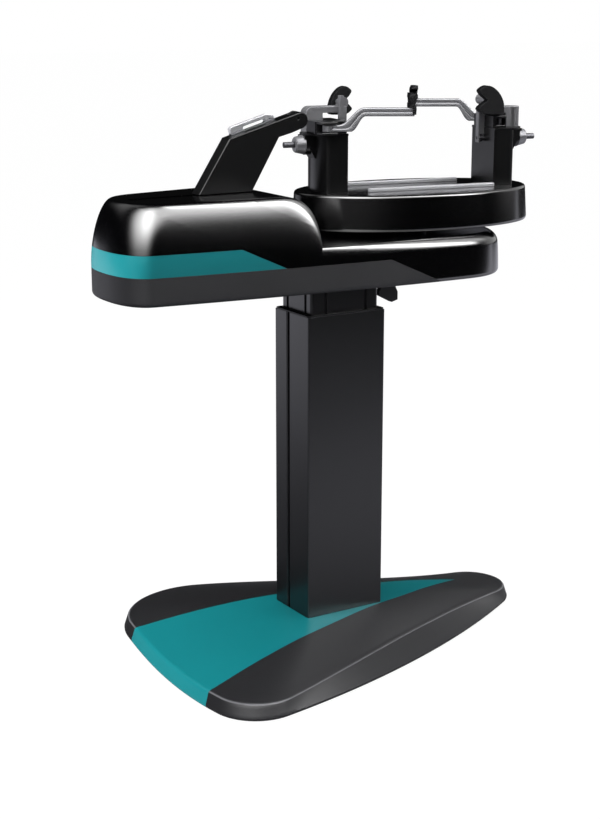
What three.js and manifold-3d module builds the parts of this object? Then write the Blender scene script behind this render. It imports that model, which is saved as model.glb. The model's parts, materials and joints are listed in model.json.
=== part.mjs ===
// A racket stringing machine: a floor base with a lifting column carries a long housing. A tension head
// slides along the housing, and a turntable with two towers and two side arms holds the racket frame.
// Millimetres. The pieces are placed from the lifting column's axis, +X runs along the housing to the
// turntable, -Y is the operator's side and +Z is up. The finished machine is then moved along X and Y so
// that its origin is on the floor under the middle of its length and width.
import * as THREE from "three";
import { mergeVertices } from "three/addons/utils/BufferGeometryUtils.js";
import Module from "manifold-3d";

// Clearances and facets shared by all pieces
const FIT = 0.3; // gap between two pieces that touch or run in each other
const OVERRUN = 2; // how far a cutting tool passes the face that it cuts
const WELD = 0.0001; // vertices nearer than this are one
const ARC_STEPS = 4; // facets in a quarter turn of a rounded corner
const ROUND_SIDES = 20; // sides of a round bar or bore
const SMALL_SIDES = 12; // sides of a pin

// Base, whose operator's side (near) and far side differ a little
const BASE_NEAR_REAR = 409.3; // from the column axis to the wide end
const BASE_NEAR_HALF = 325.2; // from the column axis to the side
const BASE_NEAR_RADIUS = 97.7; // rounding of the wide corner
const BASE_FAR_REAR = 391.2;
const BASE_FAR_HALF = 338.7;
const BASE_FAR_RADIUS = 178.4;
const BASE_REAR_LEAN = 10; // degrees, direction of the wide end's bow where it leaves a corner
const BASE_TIP = 468.6; // from the column axis to the narrow end
const BASE_TIP_RADIUS = 82.1;
const BASE_EDGE_ROUND = 3;
const BASE_LIP_HEIGHT = 6; // upright lip at the floor
const BASE_SHOULDER_HEIGHT = 34.6; // where the side meets the dome
const BASE_SHOULDER_INSET = 8.9;
const BASE_SHOULDER_ROUND = 4;
const BASE_HEIGHT = 72; // top of the dome, round the column's foot
const BASE_PLATEAU_MARGIN = 22; // flat ring round the column's foot
const BASE_WALL = 4;
const GROUND_GAP = 3;
const FLANK_FOOT_START = 8.9; // degrees, direction of the flank where it leaves the wide corner
const FLANK_FOOT_END = 30.1; // degrees, where it meets the tip
const FLANK_SHOULDER_START = 19.6; // degrees, the same for the hollowed shoulder line
const FLANK_SHOULDER_END = 12.3; // degrees
const FLANK_STEPS = 7;
const CURVE_HANDLE_SHARE = 0.33; // share of the chord
const DOME_RING_SHARES = [0.1, 0.4, 0.7, 0.92, 1];
const DOME_CROWN = 1.5; // exponent of the dome's rise: 1 is a cone
const PLATE_THICKNESS = 10;
const PLATE_HEIGHT = 12; // underside of the steel plate above the floor
const STRIPE_FRONT_HALF = 205; // front edge of the coloured panel at the wide end
const STRIPE_REAR_HALF = 165; // its rear edge there
const STRIPE_TIP = 340; // its pointed end
const FOOT_RADIUS = 25;
const FOOT_STEM_RADIUS = 14;
const FOOT_SOLE_HEIGHT = 8;
const FOOT_SOLE_ROUND = 3;
const FOOT_REAR = 325; // wide-end feet, along X
const FOOT_REAR_SPREAD = 225; // wide-end feet, along Y
const FOOT_TIP = 345; // narrow-end feet, along X
const FOOT_TIP_SPREAD = 45; // narrow-end feet, along Y

// Lifting column
const COLUMN_WIDTH = 184.8; // along X
const COLUMN_DEPTH = 131.3; // along Y
const COLUMN_RADIUS = 9;
const COLUMN_WALL = 5;
const COLUMN_TOP = 712;
const COLUMN_GROOVE_WIDTH = 7;
const COLUMN_GROOVE_DEPTH = 2.5;
const COLUMN_GROOVE_SHARE = 0.4; // from the rear edge, of the depth
const COLUMN_OPENING_GAP = 1; // between the column and the base cover
const FLANGE_MARGIN = 32; // foot flange past the column
const FLANGE_THICKNESS = 10;
const FLANGE_SOCKET_WALL = 9;
const FLANGE_SOCKET_HEIGHT = 26;
const FLANGE_BOLT_RADIUS = 7;
const FLANGE_BOLT_HEIGHT = 6;
const BOLT_SIDES = 6;
const INNER_WIDTH = 161;
const INNER_DEPTH = 115;
const INNER_RADIUS = 7;
const INNER_WALL = 7;
const INNER_SHOWN = 65; // length above the outer column at rest
const INNER_OVERLAP = 412; // length inside it
const INNER_GROOVE_WIDTH = 8;
const INNER_GROOVE_DEPTH = 3.5;
const INNER_GROOVE_SHARE = 0.3; // from the middle of a face, of its width
const COLLAR_HEIGHT = 22;
const COLLAR_LIP = 2.7;
const MOTOR_BLOCK_WIDTH = 104;
const MOTOR_BLOCK_DEPTH = 84;
const MOTOR_BLOCK_HEIGHT = 46;
const MOTOR_RADIUS = 36;
const MOTOR_LENGTH = 78;
const LIFT_SCREW_RADIUS = 10;
const LIFT_SCREW_DROP = 22; // its top below the outer column's top
const LIFT_NUT_HEIGHT = 30;

// Housing
const HOUSING_LEFT = -509;
const HOUSING_LENGTH = 879;
const HOUSING_NOSE_LENGTH = 58; // rounded left nose
const HOUSING_NOSE_HALF = 113; // half width where the nose ends
const HOUSING_END_LENGTH = 140; // rounded right end
const HOUSING_HALF_WIDTH = 170;
const HOUSING_FLANK_POWER = 1.63; // exponent of the flank's swell: 1 is straight
const HOUSING_LEFT_STEPS = 3; // facets of the flank left of the roll
const HOUSING_RIGHT_STEPS = 4; // and right of it
const HOUSING_CORNER_POWER = 2.4; // exponent of the nose and end curves: 2 is an ellipse
const HOUSING_CORNER_STEPS = 7;
const HOUSING_WALL = 4;
const HOUSING_FLOOR_ROUND = 9;
const LOWER_HEIGHT = 89; // of the low part under the turntable
const LOWER_TOP_ROUND = 12;
const HUMP_HEIGHT = 99; // how far the tall left part stands above the low part
const HUMP_ROUND = 32; // width of its rounded shoulder
const HUMP_DRAFT = 3.5; // how far its sides lean in over their height
const HUMP_END = -113; // its right end where it meets the low part
const HUMP_END_ROLL = 80; // length over which its top rolls down to that end
const HUMP_ROLL_STEPS = 6;
const CROWN_STEPS = 4;
const TRAY_HEIGHT = 55;
const TRAY_END_TOP = 41; // slanted right end of the tray, at its top edge
const TRAY_END_FLOOR = 163; // and at the floor
const BAND_HEIGHT = 42;
const BAND_END_TOP = -280; // slanted right end of the band, at its top edge
const BAND_END_TIP = -190; // and at its lower edge
const SEAM = 0.4;
const CHASSIS_LEFT_GAP = 47; // from the housing's left end
const CHASSIS_RIGHT_GAP = 80;
const CHASSIS_HALF_WIDTH = 78;
const CHASSIS_CORNER = 30;
const CHASSIS_THICKNESS = 8;
const COLUMN_HOLE_GAP = 1; // between the inner column and the tray

// Spindle of the turntable
const SPINDLE_X = 200;
const SPINDLE_RADIUS = 18;
const SPINDLE_FLANGE_RADIUS = 33;
const SPINDLE_FLANGE_HEIGHT = 15;
const SPINDLE_FOOT_RISE = 3.7; // above the chassis plate
const BEARING_RADIUS = 28;
const BEARING_HEIGHT = 12;
const BEARING_RISE = 10.7; // lower bearing above the chassis plate
const BEARING_SHOULDER = 4;
const BEARING_TUBE_WALL = 8;
const BEARING_TUBE_PROUD = 2; // above the housing's low part
const BEARING_FLANGE_RADIUS = 62;
const BEARING_FLANGE_THICKNESS = 8;
const SPINDLE_HOLE_GAP = 2.5;

// Turntable, drawn along its own long axis u and cross axis v
const TABLE_TURN = -10; // degrees about the spindle at rest
const TABLE_GAP = 12; // between the housing and the table
const TABLE_HEIGHT = 72;
const TABLE_HALF_LENGTH = 260;
const TABLE_HALF_WIDTH = 148;
const TABLE_POWER = 2.06; // exponent of the plan: 2 is an ellipse
const TABLE_STEPS = 11; // facets in a quarter of the plan
const TABLE_DRAFT = 4;
const TABLE_ROUND = 8;
const TABLE_RIM = 5; // how far its lower rim tucks in
const TABLE_RIM_HEIGHT = 14;
const TABLE_WALL = 5;
const FRAME_LENGTH = 400;
const FRAME_WIDTH = 92;
const FRAME_THICKNESS = 10;
const FRAME_CORNER = 20;
const PEDESTAL_LENGTH = 36; // blocks of the frame that carry the towers
const PEDESTAL_WIDTH = 61;
const RAIL_HALF_LENGTH = 138;
const RAIL_WIDTH = 18;
const RAIL_HEIGHT = 7;
const RAIL_OFFSET = 58; // from the long axis
const RAIL_SHIFT = 14; // each rail sits this far along its own way from the middle
const RAIL_STUB_LENGTH = 12;
const RAIL_STUB_WIDTH = 9;
const RAIL_STUB_HEIGHT = 5;

// Towers, drawn for the one at +u
const POST_INNER = 165; // flat inner face from the spindle
const POST_SHOULDER = 200; // where the rounded outer side begins
const POST_OUTER = 225;
const POST_HALF_WIDTH = 49.5;
const POST_HEIGHT = 114;
const POST_FLANGE_THICKNESS = 4;
const POST_FLANGE_MARGIN = 2;
const BOSS_TIP = 246; // outer end of the gusset under the flange
const BOSS_HALF_WIDTH = 20;
const BOSS_DROP = 46; // height of the gusset
const BOSS_LIP = 6;
const BOSS_RADIUS = 21;
const BOSS_FACE = 242; // where the knob seats
const SCREW_DROP = 19; // its axis below the post's top
const SCREW_RADIUS = 6;
const SCREW_PROUD = 43; // past the boss
const SCREW_COLLAR_RADIUS = 8;
const SCREW_COLLAR_LENGTH = 7;
const KNOB_LENGTH = 20;
const KNOB_RADIUS = 20;
const KNOB_TIP_RADIUS = 16;
const KNOB_ROUND = 2;

// Frame supports on the towers, drawn for the one at +u
const HEAD_NARROW_OUTER = 196; // on the side where the bracket's leg stands
const HEAD_OUTER = 234;
const HEAD_HALF_WIDTH = 43;
const HEAD_HEIGHT = 24.7;
const HEAD_SPLIT = -2; // v where the narrow side meets the wide side
const POCKET_LENGTH = 20; // pocket on the narrow side
const POCKET_WALL = 3; // between the pocket and the leg
const POCKET_PLATE = 5; // above and below the pocket
const POCKET_DEPTH = 17;
const CLAMP_BOLT_RADIUS = 4;
const CLAMP_BOLT_INSET = 8; // from the pocket's outer end and from the head's front face
const EAR_INNER = 198;
const EAR_OUTER = 232;
const EAR_REACH = 76; // how far the ear stands out along v
const EAR_SLOT_START = 47;
const EAR_PLATE = 4.5;
const UPRIGHT_INNER = 150; // upright of the bracket, beside the tower
const UPRIGHT_WIDTH = 14;
const UPRIGHT_NECK = 8; // its width above the bracket's bar
const UPRIGHT_FRONT = -7;
const UPRIGHT_BACK = 6;
const UPRIGHT_RISE = 9; // its foot above the adjusting screw
const UPRIGHT_ABOVE_PAD = 14; // its top above the pad's centre
const TAB_THICKNESS = 3; // tongue of the upright that the screw's journal runs in
const TAB_DROP = 9; // its foot below the adjusting screw
const JOURNAL_RADIUS = 3.5;
const LEG_INNER = 198;
const LEG_OUTER = 235;
const LEG_FRONT = -34;
const LEG_BACK = -3;
const LEG_ROUND = 14;
const BAR_HEIGHT = 17;
const BRACKET_EDGE = 1.5;
const BRACKET_RISE = 18; // top of the right bracket above the head
const LEFT_RAISE = 8; // how much taller the left bracket stands
const PAD_CENTRE = 153;
const PAD_HALF_WIDTH = 31;
const PAD_HALF_HEIGHT = 30;
const PAD_ARC_RADIUS = 40; // its rounded upper outer corner
const PAD_CORNER = 4;
const PAD_ABOVE_BRACKET = 15; // its centre above the right bracket's top
const PAD_THICKNESS = 18;
const PAD_FRONT = -54;
const PAD_MOUTH_DEPTH = 19; // from the rim to the apex of the mouth
const PAD_MOUTH_HALF = 20; // half the mouth at the rim
const PAD_APEX_ROUND = 8;
const PAD_HUB_RADIUS = 11;

// Side arms, drawn in their own upright plane: s from the claw's pin to the pivot
const ARM_PIN_U = 59.5; // the claw's pin
const ARM_PIN_V = 121.7;
const ARM_TURN = -21.6; // degrees, direction of s from u
const ARM_LENGTH = 166;
const ARM_THICKNESS = 11;
const ARM_BEVEL = 2;
const ARM_RISE_ABOVE_HEAD = 20; // centre of its straight above the support head
const ARM_DEPTH = 17;
const ARM_STRAIGHT = 94; // from the pin to the bend
const ARM_BEND = 42; // length of the bend
const ARM_GROOVE_WIDTH = 2.4;
const ARM_GROOVE_DEPTH = 1.2;
const ARM_GROOVE_MARGIN = 9; // from the ends of the straight
const ARM_EYE_RADIUS = 11;
const ARM_EYE_HEIGHT = 13;
const ARM_PIN_RADIUS = 4;
const CLAW_PIN_RISE = 8; // how far the claw's pin stands above the arm
const CLAW_THICKNESS = 18;
const CLAW_HEIGHT = 28; // above the arm
const CLAW_SPINE = 9; // half thickness of its back
const CLAW_REACH = 24; // from the pin to the jaws' tips
const CLAW_MOUTH = 11;
const CLAW_JAW_ROUND = 6;
const CLAW_EDGE = 6; // rounding of its upright corners
const CLAW_TONGUE_WALL = 5;
const CLAW_TONGUE_DROP = 14;

// Tension head, front view in X and Z
const HEAD_THICKNESS = 32;
const HEAD_EDGE = 2.5; // rounding of its edges
const HEAD_GAP = 1; // above the housing
const HEAD_FOOT_LEFT = -309;
const HEAD_FOOT_RIGHT = -190.5;
const HEAD_BACK_X = -240.5; // upper left corner
const ARM_RISE = 15.5; // degrees, slope of the arm's top
const NOSE_X = -78.5; // centre of the round nose
const NOSE_ABOVE_FOOT = 132.4;
const NOSE_RADIUS = 16;
const NOSE_UNDER_RISE = 18; // degrees, slope of its underside
const NOSE_UNDER_LENGTH = 28;
const ELBOW_DROP = 6.7; // from the end of that underside to the elbow
const ELBOW_RUN = 28.6;
const NECK_LEFT_INSET = 13; // from the foot's left end
const NECK_RIGHT_INSET = 15.5;
const NECK_WIDTH = 16;
const NECK_DEPTH = 25; // below the housing's top
const HEAD_TRAVEL = 130;
const SLOT_END_GAP = 24; // past the travel
const SLOT_GAP = 1;
const ROLLER_BACK = 7.5; // its axle from the nose's centre
const ROLLER_RISE = 4;
const ROLLER_RADIUS = 14;
const ROLLER_WIDTH = 8;
const ROLLER_GROOVE = 2.5;
const ROLLER_GAP = 1;
const AXLE_RADIUS = 2.5;
const AXLE_LENGTH = 24;
const GRIPPER_X = -178; // middle of the gripper on the arm's top
const GRIPPER_HALF = 51;
const GRIPPER_WIDTH = 24;
const GRIPPER_FLOOR = 2.8; // top of the lower jaw over the arm
const GRIPPER_ROOF = 8.8; // underside of the upper jaw
const GRIPPER_TOP = 16.5;
const GRIPPER_LEFT_LEG = 27;
const GRIPPER_RIGHT_LEG = 24;
const GRIPPER_NOSE_DROP = 8; // how far the top slopes down over the right leg

// Drive of the tension head, inside the housing
const GUIDE_RISE = 60.7; // above the chassis plate
const GUIDE_SPREAD = 45;
const GUIDE_RADIUS = 8;
const GUIDE_LEFT_GAP = 37; // from the housing's left end
const GUIDE_RIGHT_GAP = 29; // from the tall part's right end
const RAIL_BLOCK_THICKNESS = 16;
const RAIL_BLOCK_HALF = 62;
const RAIL_BLOCK_RISE = 16; // above the rods' axes
const RAIL_SOCKET = 8;
const CARRIAGE_RISE = 16; // above the rods' axes
const CARRIAGE_DROP = 15; // below the screw's axis
const CARRIAGE_HALF = 60;
const DRIVE_DROP = 25; // screw's axis below the rods' axes
const DRIVE_RADIUS = 7;
const DRIVE_MOTOR_RADIUS = 29;
const DRIVE_MOTOR_LENGTH = 70;
const DRIVE_MOTOR_FOOT = 40;

// Brake lever and mains inlet, under the housing
const BRAKE_X = 142;
const BRAKE_PIVOT_DROP = 15; // below the housing
const BRAKE_HANGER_HALF = 14;
const BRAKE_EAR = 4;
const BRAKE_LEVER_WIDTH = 12;
const BRAKE_HUB_RADIUS = 9;
const BRAKE_PIN_RADIUS = 3;
const BRAKE_LEVER_REACH = 24;
const BRAKE_LEVER_LENGTH = 51; // its tip below the pivot
const BRAKE_LEVER_WAIST = 34; // where its sides begin below the pivot
const INLET_X = -160;
const INLET_Y = 104;
const INLET_LENGTH = 58;
const INLET_WIDTH = 26;
const INLET_FLANGE = 3;
const INLET_FLANGE_THICKNESS = 2.5;
const INLET_DEPTH = 24;
const SOCKET_LENGTH = 22;
const SOCKET_WIDTH = 16;
const SOCKET_DEPTH = 17;
const SOCKET_PIN = 2;
const SOCKET_PIN_START = 6; // below the socket's mouth
const SWITCH_LENGTH = 20;
const SWITCH_WIDTH = 14;
const SWITCH_DEPTH = 10;
const SWITCH_OFFSET = 14; // from the inlet's middle
const SWITCH_PROUD = 2;
const SWITCH_PIVOT_RADIUS = 4;

// Levels and ends that follow from the sizes above, from the floor up
const plateTop = PLATE_HEIGHT + PLATE_THICKNESS;
const columnFoot = plateTop + FIT;
const motorTop = columnFoot + MOTOR_BLOCK_HEIGHT + MOTOR_LENGTH;
const liftScrewTop = COLUMN_TOP - LIFT_SCREW_DROP;
const innerBottom = COLUMN_TOP - INNER_OVERLAP;
const housingFloor = COLUMN_TOP + INNER_SHOWN;
const lowerTop = housingFloor + LOWER_HEIGHT;
const humpTop = lowerTop + HUMP_HEIGHT;
const trayTop = housingFloor + TRAY_HEIGHT;
const bandTop = trayTop + BAND_HEIGHT;
const housingRight = HOUSING_LEFT + HOUSING_LENGTH;
const chassisLeft = HOUSING_LEFT + CHASSIS_LEFT_GAP;
const chassisRight = housingRight - CHASSIS_RIGHT_GAP;
const chassisBottom = housingFloor + HOUSING_WALL + FIT;
const chassisTop = chassisBottom + CHASSIS_THICKNESS;
const innerTop = chassisBottom - FIT;
const brakePivotZ = housingFloor - BRAKE_PIVOT_DROP;
const leverTip = brakePivotZ - BRAKE_LEVER_LENGTH;
const leverSide = brakePivotZ - BRAKE_LEVER_WAIST;
const spindleFoot = chassisTop + SPINDLE_FOOT_RISE;
const lowerBearingZ = chassisTop + BEARING_RISE;
const tubeTop = lowerTop + BEARING_TUBE_PROUD;
const upperBearingZ = tubeTop - BEARING_HEIGHT;
const guideZ = chassisTop + GUIDE_RISE;
const guideLeft = HOUSING_LEFT + GUIDE_LEFT_GAP;
const guideRight = HUMP_END - GUIDE_RIGHT_GAP;
const driveZ = guideZ - DRIVE_DROP;
const railBlockTop = guideZ + RAIL_BLOCK_RISE;
const carriageTop = guideZ + CARRIAGE_RISE;
const carriageBottom = driveZ - CARRIAGE_DROP;
const tableBottom = lowerTop + TABLE_GAP;
const tableTop = tableBottom + TABLE_HEIGHT;
const postTop = tableTop + POST_HEIGHT;
const flangeSeat = postTop + POST_FLANGE_THICKNESS;
const screwZ = postTop - SCREW_DROP;
const screwEnd = BOSS_FACE + SCREW_PROUD;
const headFoot = flangeSeat + FIT;
const headTop = headFoot + HEAD_HEIGHT;
const bracketTop = headTop + BRACKET_RISE;
const padZ = bracketTop + PAD_ABOVE_BRACKET;
const uprightFoot = screwZ + UPRIGHT_RISE;
const collarStart = UPRIGHT_INNER + TAB_THICKNESS + FIT;
const armZ = headTop + ARM_RISE_ABOVE_HEAD;
const headFootZ = humpTop + HEAD_GAP;
const neckLeft = HEAD_FOOT_LEFT + NECK_LEFT_INSET;
const neckRight = HEAD_FOOT_RIGHT - NECK_RIGHT_INSET;
const neckFoot = humpTop - NECK_DEPTH;
const slotLeft = neckLeft - HEAD_TRAVEL - SLOT_END_GAP;
const noseZ = headFootZ + NOSE_ABOVE_FOOT;
const rollerX = NOSE_X - ROLLER_BACK;
const rollerZ = noseZ + ROLLER_RISE;

const wasm = await Module();
wasm.setup();

const radians = THREE.MathUtils.degToRad;

// A closed geometry as a solid that can be cut and joined
function asSolid(geometry) {
  const bare = geometry.index ? geometry.toNonIndexed() : geometry.clone();
  bare.deleteAttribute("normal");
  bare.deleteAttribute("uv");
  const merged = mergeVertices(bare, WELD);
  const vertProperties = merged.attributes.position.array;
  const triVerts = new Uint32Array(merged.index.array);
  return new wasm.Manifold(new wasm.Mesh({ numProp: 3, vertProperties, triVerts }));
}

function asGeometry(solid) {
  const mesh = solid.getMesh();
  const geometry = new THREE.BufferGeometry();
  geometry.setAttribute("position", new THREE.BufferAttribute(mesh.vertProperties, 3));
  geometry.setIndex(new THREE.BufferAttribute(mesh.triVerts, 1));
  geometry.computeVertexNormals();
  return geometry;
}

function join(first, ...others) {
  return asGeometry(others.reduce((whole, piece) => whole.add(asSolid(piece)), asSolid(first)));
}

function cut(first, ...tools) {
  return asGeometry(tools.reduce((rest, tool) => rest.subtract(asSolid(tool)), asSolid(first)));
}

function common(first, ...others) {
  return asGeometry(others.reduce((rest, other) => rest.intersect(asSolid(other)), asSolid(first)));
}

function material(color, roughness, metalness) {
  return new THREE.MeshStandardMaterial({ color, roughness, metalness });
}

function node(name, geometry, finish) {
  const mesh = new THREE.Mesh(geometry, finish);
  mesh.name = name;
  return mesh;
}

function group(...children) {
  const holder = new THREE.Group();
  holder.add(...children);
  return holder;
}

// A block between two corners
function block(x0, x1, y0, y1, z0, z1) {
  const box = new THREE.BoxGeometry(x1 - x0, y1 - y0, z1 - z0);
  return box.translate((x0 + x1) / 2, (y0 + y1) / 2, (z0 + z1) / 2);
}

// Round bars along each axis, from one end to the other
function rodZ(radius, z0, z1, sides = ROUND_SIDES, topRadius = radius) {
  const bar = new THREE.CylinderGeometry(topRadius, radius, z1 - z0, sides);
  return bar.rotateX(Math.PI / 2).translate(0, 0, (z0 + z1) / 2);
}

function rodX(radius, x0, x1, sides = ROUND_SIDES) {
  const bar = new THREE.CylinderGeometry(radius, radius, x1 - x0, sides);
  return bar.rotateZ(-Math.PI / 2).translate((x0 + x1) / 2, 0, 0);
}

function rodY(radius, y0, y1, sides = ROUND_SIDES) {
  return new THREE.CylinderGeometry(radius, radius, y1 - y0, sides).translate(0, (y0 + y1) / 2, 0);
}

// A plan drawn in X and Y, raised along Z
function raise(shape, z0, z1) {
  const options = { depth: z1 - z0, bevelEnabled: false, curveSegments: ARC_STEPS };
  return new THREE.ExtrudeGeometry(shape, options).translate(0, 0, z0);
}

// An elevation drawn in X and Z, carried across Y, with rounded edges where edge is given
function across(shape, y0, y1, edge = 0) {
  const rounding = {
    bevelEnabled: edge > 0,
    bevelThickness: edge,
    bevelSize: edge,
    bevelOffset: -edge,
    bevelSegments: 2,
  };
  const options = { depth: y1 - y0 - 2 * edge, curveSegments: ARC_STEPS, ...rounding };
  const slab = new THREE.ExtrudeGeometry(shape, options);
  return slab.rotateX(Math.PI / 2).translate(0, y1 - edge, 0);
}

// A profile of [radius, height] pairs turned about Z
function turn(profile, sides = ROUND_SIDES) {
  const points = profile.map(([radius, height]) => new THREE.Vector2(radius, height));
  return new THREE.LatheGeometry(points, sides).rotateX(Math.PI / 2);
}

function polygon(points) {
  return new THREE.Shape(points.map(([x, y]) => new THREE.Vector2(x, y)));
}

function roundedRectangle(width, depth, radius, x = 0, y = 0) {
  const right = width / 2;
  const back = depth / 2;
  const shape = new THREE.Shape();
  shape.absarc(x + right - radius, y - back + radius, radius, -Math.PI / 2, 0, false);
  shape.absarc(x + right - radius, y + back - radius, radius, 0, Math.PI / 2, false);
  shape.absarc(x - right + radius, y + back - radius, radius, Math.PI / 2, Math.PI, false);
  shape.absarc(x - right + radius, y - back + radius, radius, Math.PI, (3 * Math.PI) / 2, false);
  shape.closePath();
  return shape;
}

// A closed skin through rings of equal count that run anticlockwise and rise; strips close both ends
function loft(rings) {
  const count = rings[0].length;
  const index = [];
  for (let level = 0; level + 1 < rings.length; level++) {
    for (let i = 0; i < count; i++) {
      const next = (i + 1) % count;
      const a = level * count + i;
      const b = level * count + next;
      const c = a + count;
      const d = b + count;
      index.push(a, b, d, a, d, c);
    }
  }
  const roof = (rings.length - 1) * count;
  const strip = (a, b, c) => {
    if (a !== b && b !== c && c !== a) {
      index.push(roof + a, roof + b, roof + c, a, c, b);
    }
  };
  for (let i = 0; i < count / 2; i++) {
    strip(i, i + 1, count - i - 1);
    strip(i, count - i - 1, (count - i) % count);
  }
  const geometry = new THREE.BufferGeometry().setFromPoints(rings.flat());
  geometry.setIndex(index);
  return geometry;
}

function atHeight(outline, z) {
  return outline.map((point) => new THREE.Vector3(point.x, point.y, z));
}

// The half of an outline at -Y, from left to right, mirrored to close it
function mirrored(half) {
  const back = half.map((point) => new THREE.Vector2(point.x, -point.y)).reverse();
  const onAxis = (point) => Math.abs(point.y) < WELD;
  return [...half, ...back.filter((point) => !onAxis(point))];
}

function arc(x, y, radius, from, to, steps) {
  const points = [];
  for (let i = 0; i <= steps; i++) {
    const angle = from + ((to - from) * i) / steps;
    points.push(new THREE.Vector2(x + radius * Math.cos(angle), y + radius * Math.sin(angle)));
  }
  return points;
}

// The points between two ends of a curve that leaves and arrives in the given directions
function curve(from, leaving, to, arriving, steps) {
  const handle = CURVE_HANDLE_SHARE * from.distanceTo(to);
  const bend = new THREE.CubicBezierCurve(
    from,
    new THREE.Vector2(from.x + handle * Math.cos(leaving), from.y + handle * Math.sin(leaving)),
    new THREE.Vector2(to.x - handle * Math.cos(arriving), to.y - handle * Math.sin(arriving)),
    to,
  );
  return bend.getPoints(steps).slice(1, -1);
}

// One side of the base's plan, drawn at -Y from its wide corner to the tip
function baseSide(rear, half, radius, inset, flankStart, flankEnd) {
  const down = -Math.PI / 2;
  const start = radians(flankStart);
  const end = radians(flankEnd);
  const left = radians(BASE_REAR_LEAN) - Math.PI;
  const corner = arc(radius - rear, radius - half, radius - inset, left, down + start, 2 * ARC_STEPS);
  const tip = arc(BASE_TIP - BASE_TIP_RADIUS, 0, BASE_TIP_RADIUS - inset, down + end, 0, ARC_STEPS);
  const flank = curve(corner[corner.length - 1], start, tip[0], end, FLANK_STEPS);
  return [...corner, ...flank, ...tip];
}

// Base: a triangle with rounded corners, whose flanks bow out at the floor and in at the shoulder
function baseOutline(inset, flankStart, flankEnd) {
  const near = baseSide(BASE_NEAR_REAR, BASE_NEAR_HALF, BASE_NEAR_RADIUS, inset, flankStart, flankEnd);
  const mirror = baseSide(BASE_FAR_REAR, BASE_FAR_HALF, BASE_FAR_RADIUS, inset, flankStart, flankEnd);
  const far = mirror.map((point) => new THREE.Vector2(point.x, -point.y)).reverse();
  const lean = radians(BASE_REAR_LEAN);
  const down = -Math.PI / 2;
  const rear = curve(far[far.length - 1], down - lean, near[0], down + lean, ARC_STEPS);
  return [...near, ...far.slice(1), ...rear];
}

// The flat ring round the column's foot, with one point in the direction of each shoulder point
function plateauRing(shoulder, z) {
  const halfWidth = COLUMN_WIDTH / 2 + BASE_PLATEAU_MARGIN;
  const halfDepth = COLUMN_DEPTH / 2 + BASE_PLATEAU_MARGIN;
  return shoulder.map((point) => {
    const reach = Math.hypot(point.x / halfWidth, point.y / halfDepth);
    return new THREE.Vector3(point.x / reach, point.y / reach, z);
  });
}

// The base's skin, moved inwards by depth; an inner skin runs on below the floor
function baseSkin(depth) {
  const foot = (inset) => baseOutline(inset + depth, FLANK_FOOT_START, FLANK_FOOT_END);
  const shoulderLine = (inset) => baseOutline(inset + depth, FLANK_SHOULDER_START, FLANK_SHOULDER_END);
  const shoulderZ = BASE_SHOULDER_HEIGHT - depth;
  const lipZ = GROUND_GAP + BASE_LIP_HEIGHT - depth / 2;
  const rings = [
    atHeight(foot(BASE_EDGE_ROUND), depth > 0 ? -OVERRUN : GROUND_GAP),
    atHeight(foot(0), lipZ),
    atHeight(shoulderLine(BASE_SHOULDER_INSET - BASE_SHOULDER_ROUND / 2), shoulderZ - BASE_SHOULDER_ROUND),
  ];
  const shoulder = shoulderLine(BASE_SHOULDER_INSET);
  const top = plateauRing(shoulder, BASE_HEIGHT - depth);
  for (const share of DOME_RING_SHARES) {
    const rise = 1 - (1 - share) ** DOME_CROWN;
    const z = shoulderZ + (BASE_HEIGHT - BASE_SHOULDER_HEIGHT) * rise;
    rings.push(shoulder.map((point, i) => new THREE.Vector3(
      THREE.MathUtils.lerp(point.x, top[i].x, share),
      THREE.MathUtils.lerp(point.y, top[i].y, share),
      z,
    )));
  }
  return loft(rings);
}

function columnHole(gap, z0, z1) {
  const width = COLUMN_WIDTH + 2 * gap;
  const depth = COLUMN_DEPTH + 2 * gap;
  return raise(roundedRectangle(width, depth, COLUMN_RADIUS + gap), z0, z1);
}

// Plan of the coloured panel: a wedge from the wide end past the column to its tip
function stripeWedge(grow) {
  const wide = -BASE_NEAR_REAR - BASE_NEAR_RADIUS;
  const spread = (STRIPE_TIP - wide) / (STRIPE_TIP + BASE_NEAR_REAR);
  return raise(
    polygon([
      [wide, -STRIPE_FRONT_HALF * spread - grow],
      [STRIPE_TIP + 2 * grow, 0],
      [wide, STRIPE_REAR_HALF * spread + grow],
    ]),
    -2 * OVERRUN,
    BASE_HEIGHT + OVERRUN,
  );
}

function baseShell() {
  const opening = columnHole(COLUMN_OPENING_GAP, 0, BASE_HEIGHT + OVERRUN);
  return cut(baseSkin(0), baseSkin(BASE_WALL), opening);
}

function basePlate() {
  const wide = -BASE_NEAR_REAR - BASE_NEAR_RADIUS;
  const slab = block(wide, BASE_TIP, -BASE_NEAR_HALF, BASE_FAR_HALF, PLATE_HEIGHT, plateTop);
  return common(baseSkin(BASE_WALL + FIT), slab);
}

function footPad() {
  const stemTop = PLATE_HEIGHT - FIT;
  return turn([
    [0, 0],
    [FOOT_RADIUS - FOOT_SOLE_ROUND, 0],
    [FOOT_RADIUS, FOOT_SOLE_ROUND],
    [FOOT_RADIUS, FOOT_SOLE_HEIGHT - FOOT_SOLE_ROUND],
    [FOOT_STEM_RADIUS, FOOT_SOLE_HEIGHT],
    [FOOT_STEM_RADIUS, stemTop],
    [0, stemTop],
  ]);
}

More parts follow.
